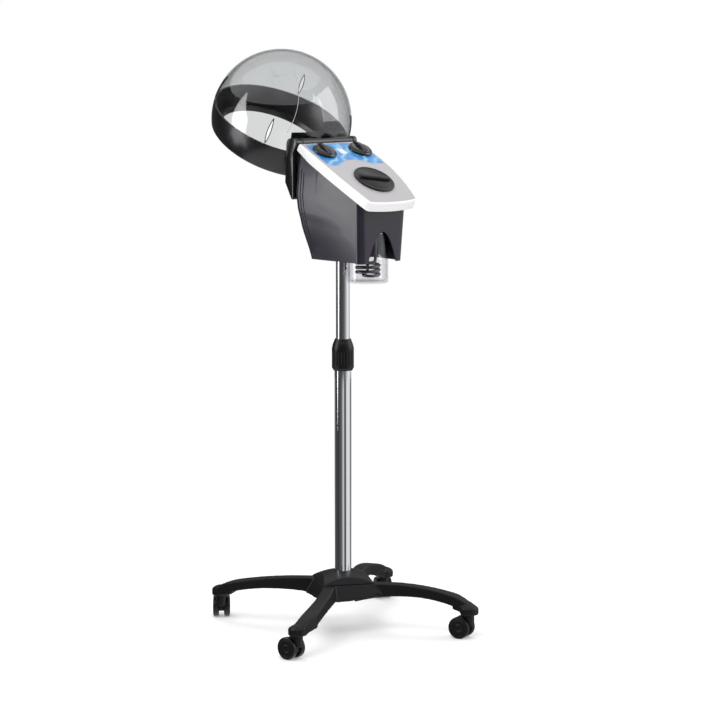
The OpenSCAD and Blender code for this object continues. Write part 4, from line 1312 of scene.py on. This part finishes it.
def make_plate():
    """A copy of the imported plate, drawn in at its sides and its nose."""
    inner = bpy.data.objects.new("works_plate", nodes["chassis_plate"].data.copy())
    bpy.context.scene.collection.objects.link(inner)
    weld(inner)
    for point in inner.data.vertices:
        x, y, _ = point.co / MM
        if abs(x) > PLATE_EDGE:
            point.co.x *= PLATE_NARROW
        if y < PLATE_NOSE:
            point.co.y = (PLATE_NOSE + (y - PLATE_NOSE) * PLATE_SQUEEZE) * MM
    return fit(inner, "head", CAST_METAL, ("chassis_plate",), 30.0)


make_plate()

# %% [markdown]
# ## Jar and heating coil
# The jar is blown with a thick, rounded foot, so its section has a wall that swells below. The
# coil is one bent tube: down the middle, out to three turns, and back up beside them.

# %% Jar
JAR_Y = -84
JAR_Z = 802
JAR_PROFILE = [
    (0, 1.4), (34, 1.4), (36.5, 0.9), (38.5, 0), (40.8, 0), *arc((40.8, 5), 5, -90, 0, 8),
    (45.8, 60), (45.8, 100), (45.8, 139.8), (45.2, 140.7), (43.4, 140.7),
    (42.8, 139.8), (42.8, 60), (42.8, 12), *arc((36.8, 10), 6, 0, -90, 8), (0, 4),
]
jar = moved(turned("jar_glass", JAR_PROFILE, 128), shift(0, JAR_Y, JAR_Z))
fit(jar, "jar", JAR_CLEAR, ("water_jar",), 40.0)

# %% Heating coil
COIL_RADIUS = 26
COIL_TURNS = 3
COIL_PITCH = 10
COIL_LOW = JAR_Z + 16
COIL_TOP = COIL_LOW + COIL_TURNS * COIL_PITCH
COIL_END = -105
COIL_START = COIL_END - 360 * COIL_TURNS
COIL_DROP = 14
SWEEP = 150
SWEEP_RISE = 9
LEG_BEND = 15
LEG_RISE = 7
LEG_TOP = 965
TUBE_RADIUS = 3.4


def coil_spot(radius, angle, height):
    """A point round the jar's axis, the angle in degrees."""
    angle = math.radians(angle)
    return Vector((radius * math.cos(angle), JAR_Y + radius * math.sin(angle), height))


def coil_route():
    """Down the middle, out to the turns, round them, and up the second leg."""
    route = [Vector((0, JAR_Y, LEG_TOP)), Vector((0, JAR_Y, COIL_LOW + COIL_DROP))]
    for step in range(8):
        left = 1 - step / 8
        route.append(coil_spot(COIL_RADIUS * ease(1 - left), COIL_START - SWEEP * left,
                               COIL_LOW + SWEEP_RISE * left ** 2))
    for degrees in range(0, 360 * COIL_TURNS + 1, 8):
        route.append(coil_spot(COIL_RADIUS, COIL_START + degrees,
                               COIL_LOW + COIL_PITCH * degrees / 360))
    for degrees in (30, 60, 90):
        part = math.radians(degrees)
        route.append(coil_spot(COIL_RADIUS, COIL_END + LEG_BEND * math.sin(part),
                               COIL_TOP + LEG_RISE * (1 - math.cos(part))))
    return route + [Vector((0, JAR_Y - COIL_RADIUS, LEG_TOP))]


route = coil_route()
coil = tube("coil_tube", route, [TUBE_RADIUS] * len(route), 16)
fit(coil, "head", ELEMENT_STEEL, ("heating_coil",), 50.0)

# %% [markdown]
# ## The floor
# The photograph is a cut-out on white with a soft shadow under the legs. The floor is pale and
# glows a little, so that only the shadow is darker than white, and it turns plain white further
# out. Only the camera sees the glow, and mirroring surfaces don't see the floor.

# %% Floor
FLOOR_SIZE = 60.0
FLOOR_GLOW = 0.24
FLOOR_NEAR = 0.9
FLOOR_FAR = 1.8
FLOOR_PAINT = (0.9, 0.9, 0.9, 1.0)
WHITE = (1, 1, 1, 1)


def ray_kinds(finish, *kinds):
    """1 for rays of any of the kinds, else 0."""
    found = None
    for kind in kinds:
        this = finish.node("ShaderNodeLightPath", out=f"Is {kind} Ray")
        found = this if found is None else finish.maths("MAXIMUM", found, this)
    return found


def floor_paint():
    """Pale paint that glows for the camera and is plain white far out."""
    finish = Finish("studio_white")
    plain = finish.node("ShaderNodeBsdfDiffuse", None, {"Color": FLOOR_PAINT})
    glow = finish.node("ShaderNodeEmission", None, {"Color": WHITE, "Strength": FLOOR_GLOW})
    near = finish.node("ShaderNodeAddShader", None, {0: plain, 1: glow})
    far = finish.node("ShaderNodeEmission", None, {"Color": WHITE, "Strength": 1.0})
    away = finish.node("ShaderNodeVectorMath", {"operation": "LENGTH"},
                       {0: finish.places}, out="Value")
    away = finish.node("ShaderNodeMapRange", {"interpolation_type": "SMOOTHSTEP"},
                       {"Value": away, "From Min": FLOOR_NEAR, "From Max": FLOOR_FAR})
    lit = finish.node("ShaderNodeMixShader", None, {0: away, 1: near, 2: far})
    seen = ray_kinds(finish, "Camera", "Transmission")
    return finish.done(finish.node("ShaderNodeMixShader", None, {0: seen, 1: plain, 2: lit}))


bpy.ops.object.select_all(action="DESELECT")
bpy.ops.mesh.primitive_plane_add(size=FLOOR_SIZE, location=(0, 0, 0))
floor = bpy.context.object
floor.name = "studio_floor"
floor.visible_glossy = False
floor.data.materials.append(floor_paint())

# %% [markdown]
# ## Something for the chrome to mirror
# Chrome shows its surroundings, so in an all-white room it looks white and loses its form. A
# studio stands dark and pale boards round it. Here one round wall carries the boards as stripes
# by its angle from the camera, and only mirroring surfaces see it. The wall's low part shows in
# the pole and its high part in the hood and the head.

# %% Boards
CAMERA_TURN = math.degrees(math.atan2(CAMERA_PLACE.y, CAMERA_PLACE.x))
WALL_RADIUS = 4.6
WALL_LOW = -3.2
WALL_MIDDLE = -0.1
WALL_HIGH = 3.4
POLE_BOARDS = [(-180, 0.30), (-150, 0.26), (-122, 0.10), (-98, 0.055), (-60, 0.05),
               (-30, 0.09), (-12, 0.2), (0, 0.62), (14, 0.62), (22, 0.03), (36, 0.05),
               (46, 0.6), (56, 0.85), (98, 0.85), (112, 0.5), (130, 0.08), (150, 0.12),
               (172, 0.3)]
HEAD_BOARDS = [(-180, 0.06), (-140, 0.04), (-112, 0.03), (-96, 0.05), (-86, 0.12),
               (-60, 0.04), (-20, 0.03), (20, 0.06), (50, 0.2), (74, 0.44), (96, 0.46),
               (130, 0.3)]


def mirrored_only(piece, strength, boards=None):
    """Makes a piece glow, and hides it from all rays but those of mirroring surfaces."""
    for kind in ("camera", "diffuse", "shadow", "transmission"):
        setattr(piece, f"visible_{kind}", False)
    finish = Finish(piece.name)
    tone = WHITE
    if boards:
        spun = finish.node("ShaderNodeTexGradient", {"gradient_type": "RADIAL"},
                           {"Vector": finish.places}, out="Fac")
        stripes = sorted((((CAMERA_TURN + angle) / 360 + 0.5) % 1.0, (level, level, level, 1.0))
                         for angle, level in boards)
        tone = finish.node("ShaderNodeValToRGB", {"stops": stripes}, {0: spun})
    shine = finish.node("ShaderNodeEmission", None, {"Color": tone, "Strength": strength})
    piece.data.materials.append(finish.done(shine))


def round_wall(name, low, high, strength, boards):
    """A band of the round wall between two heights."""
    bpy.ops.object.select_all(action="DESELECT")
    bpy.ops.mesh.primitive_cylinder_add(vertices=128, radius=WALL_RADIUS, depth=high - low,
                                        end_fill_type="NOTHING",
                                        location=(0, 0, (low + high) / 2))
    wall = bpy.context.object
    wall.name = name
    mirrored_only(wall, strength, boards)


round_wall("studio_wall_low", WALL_LOW, WALL_MIDDLE, 1.0, POLE_BOARDS)
round_wall("studio_wall_high", WALL_MIDDLE, WALL_HIGH, 2.0, HEAD_BOARDS)

# %% [markdown]
# ## Two lights that show as highlights
# A tall pointed light stands beside the hood, and its mirror image is the bright triangle in
# the dome. A small square one lights the middle of the housing's side. A lamp would do too, but
# these are plates, so their outlines are free.

# %% Lit plates
STRIP_TURN = CAMERA_TURN - 68
STRIP_DISTANCE = 1.25
STRIP_CORNERS = ((0, 0.98), (0.2, 0.42), (0.36, 0), (0, -0.92), (-0.36, 0), (-0.2, 0.42))
BOARD_TURN = 130.8
BOARD_PLACE = Vector((-0.637, 0.506, 0.9))
BOARD_HALF = 0.11
BOARD_CORNERS = [(y * BOARD_HALF, z * BOARD_HALF)
                 for y, z in ((-1, -1), (1, -1), (1, 1), (-1, 1))]


def lit_plate(name, corners, place, bearing, strength):
    """An upright glowing plate that faces along a bearing in degrees."""
    piece = plate(name, [Vector((0, y, z)) for y, z in corners])
    piece.location = place
    piece.rotation_euler = (0, 0, math.radians(bearing))
    mirrored_only(piece, strength)


aside = math.radians(STRIP_TURN)
strip_place = Vector(HOOD_CENTRE) * MM + STRIP_DISTANCE * Vector((math.cos(aside),
                                                                  math.sin(aside), 0))
lit_plate("studio_strip", STRIP_CORNERS, strip_place, STRIP_TURN, 5.0)
lit_plate("studio_board", BOARD_CORNERS, BOARD_PLACE, BOARD_TURN, 4.0)

# %% [markdown]
# ## World and lamps
# The camera, mirrors and clear plastic see a white world, which gives the white background. All
# else gets a dimmer, even light from it, and three large soft lamps model the forms. Two of
# them would show as bright squares in gloss, so mirroring surfaces don't see those two.

# %% World
AMBIENT = 0.55


def white_world():
    """White where it is seen, dimmer where it lights."""
    finish = Finish("studio", world=True)
    dim = finish.node("ShaderNodeBackground", None, {"Color": WHITE, "Strength": AMBIENT})
    white = finish.node("ShaderNodeBackground", None, {"Color": WHITE, "Strength": 1.0})
    seen = ray_kinds(finish, "Camera", "Glossy", "Transmission")
    return finish.done(finish.node("ShaderNodeMixShader", None, {0: seen, 1: dim, 2: white}))


bpy.context.scene.world = white_world()

# %% Lamps
CENTRE = Vector((0, 0.05, 0.8))
LAMP_DISTANCE = 3.6


def softbox(name, direction, size, watts, distance=LAMP_DISTANCE, mirrors=True):
    """A square soft lamp that faces the middle of the steamer."""
    place = CENTRE + Vector(direction).normalized() * distance
    bpy.ops.object.light_add(type="AREA", location=place)
    lamp = bpy.context.object
    lamp.name = name
    lamp.rotation_euler = (CENTRE - place).to_track_quat("-Z", "Y").to_euler()
    lamp.data.size = size
    lamp.data.energy = watts
    lamp.visible_glossy = mirrors


softbox("lamp_key", (-1.0, -0.6, 1.3), 2.2, 60, distance=3.4, mirrors=False)
softbox("lamp_fill", (1.0, -0.8, 0.5), 2.4, 38)
softbox("lamp_back", (0.2, 1.0, 1.0), 2.2, 35, mirrors=False)

bpy.context.scene.view_settings.view_transform = "Standard"
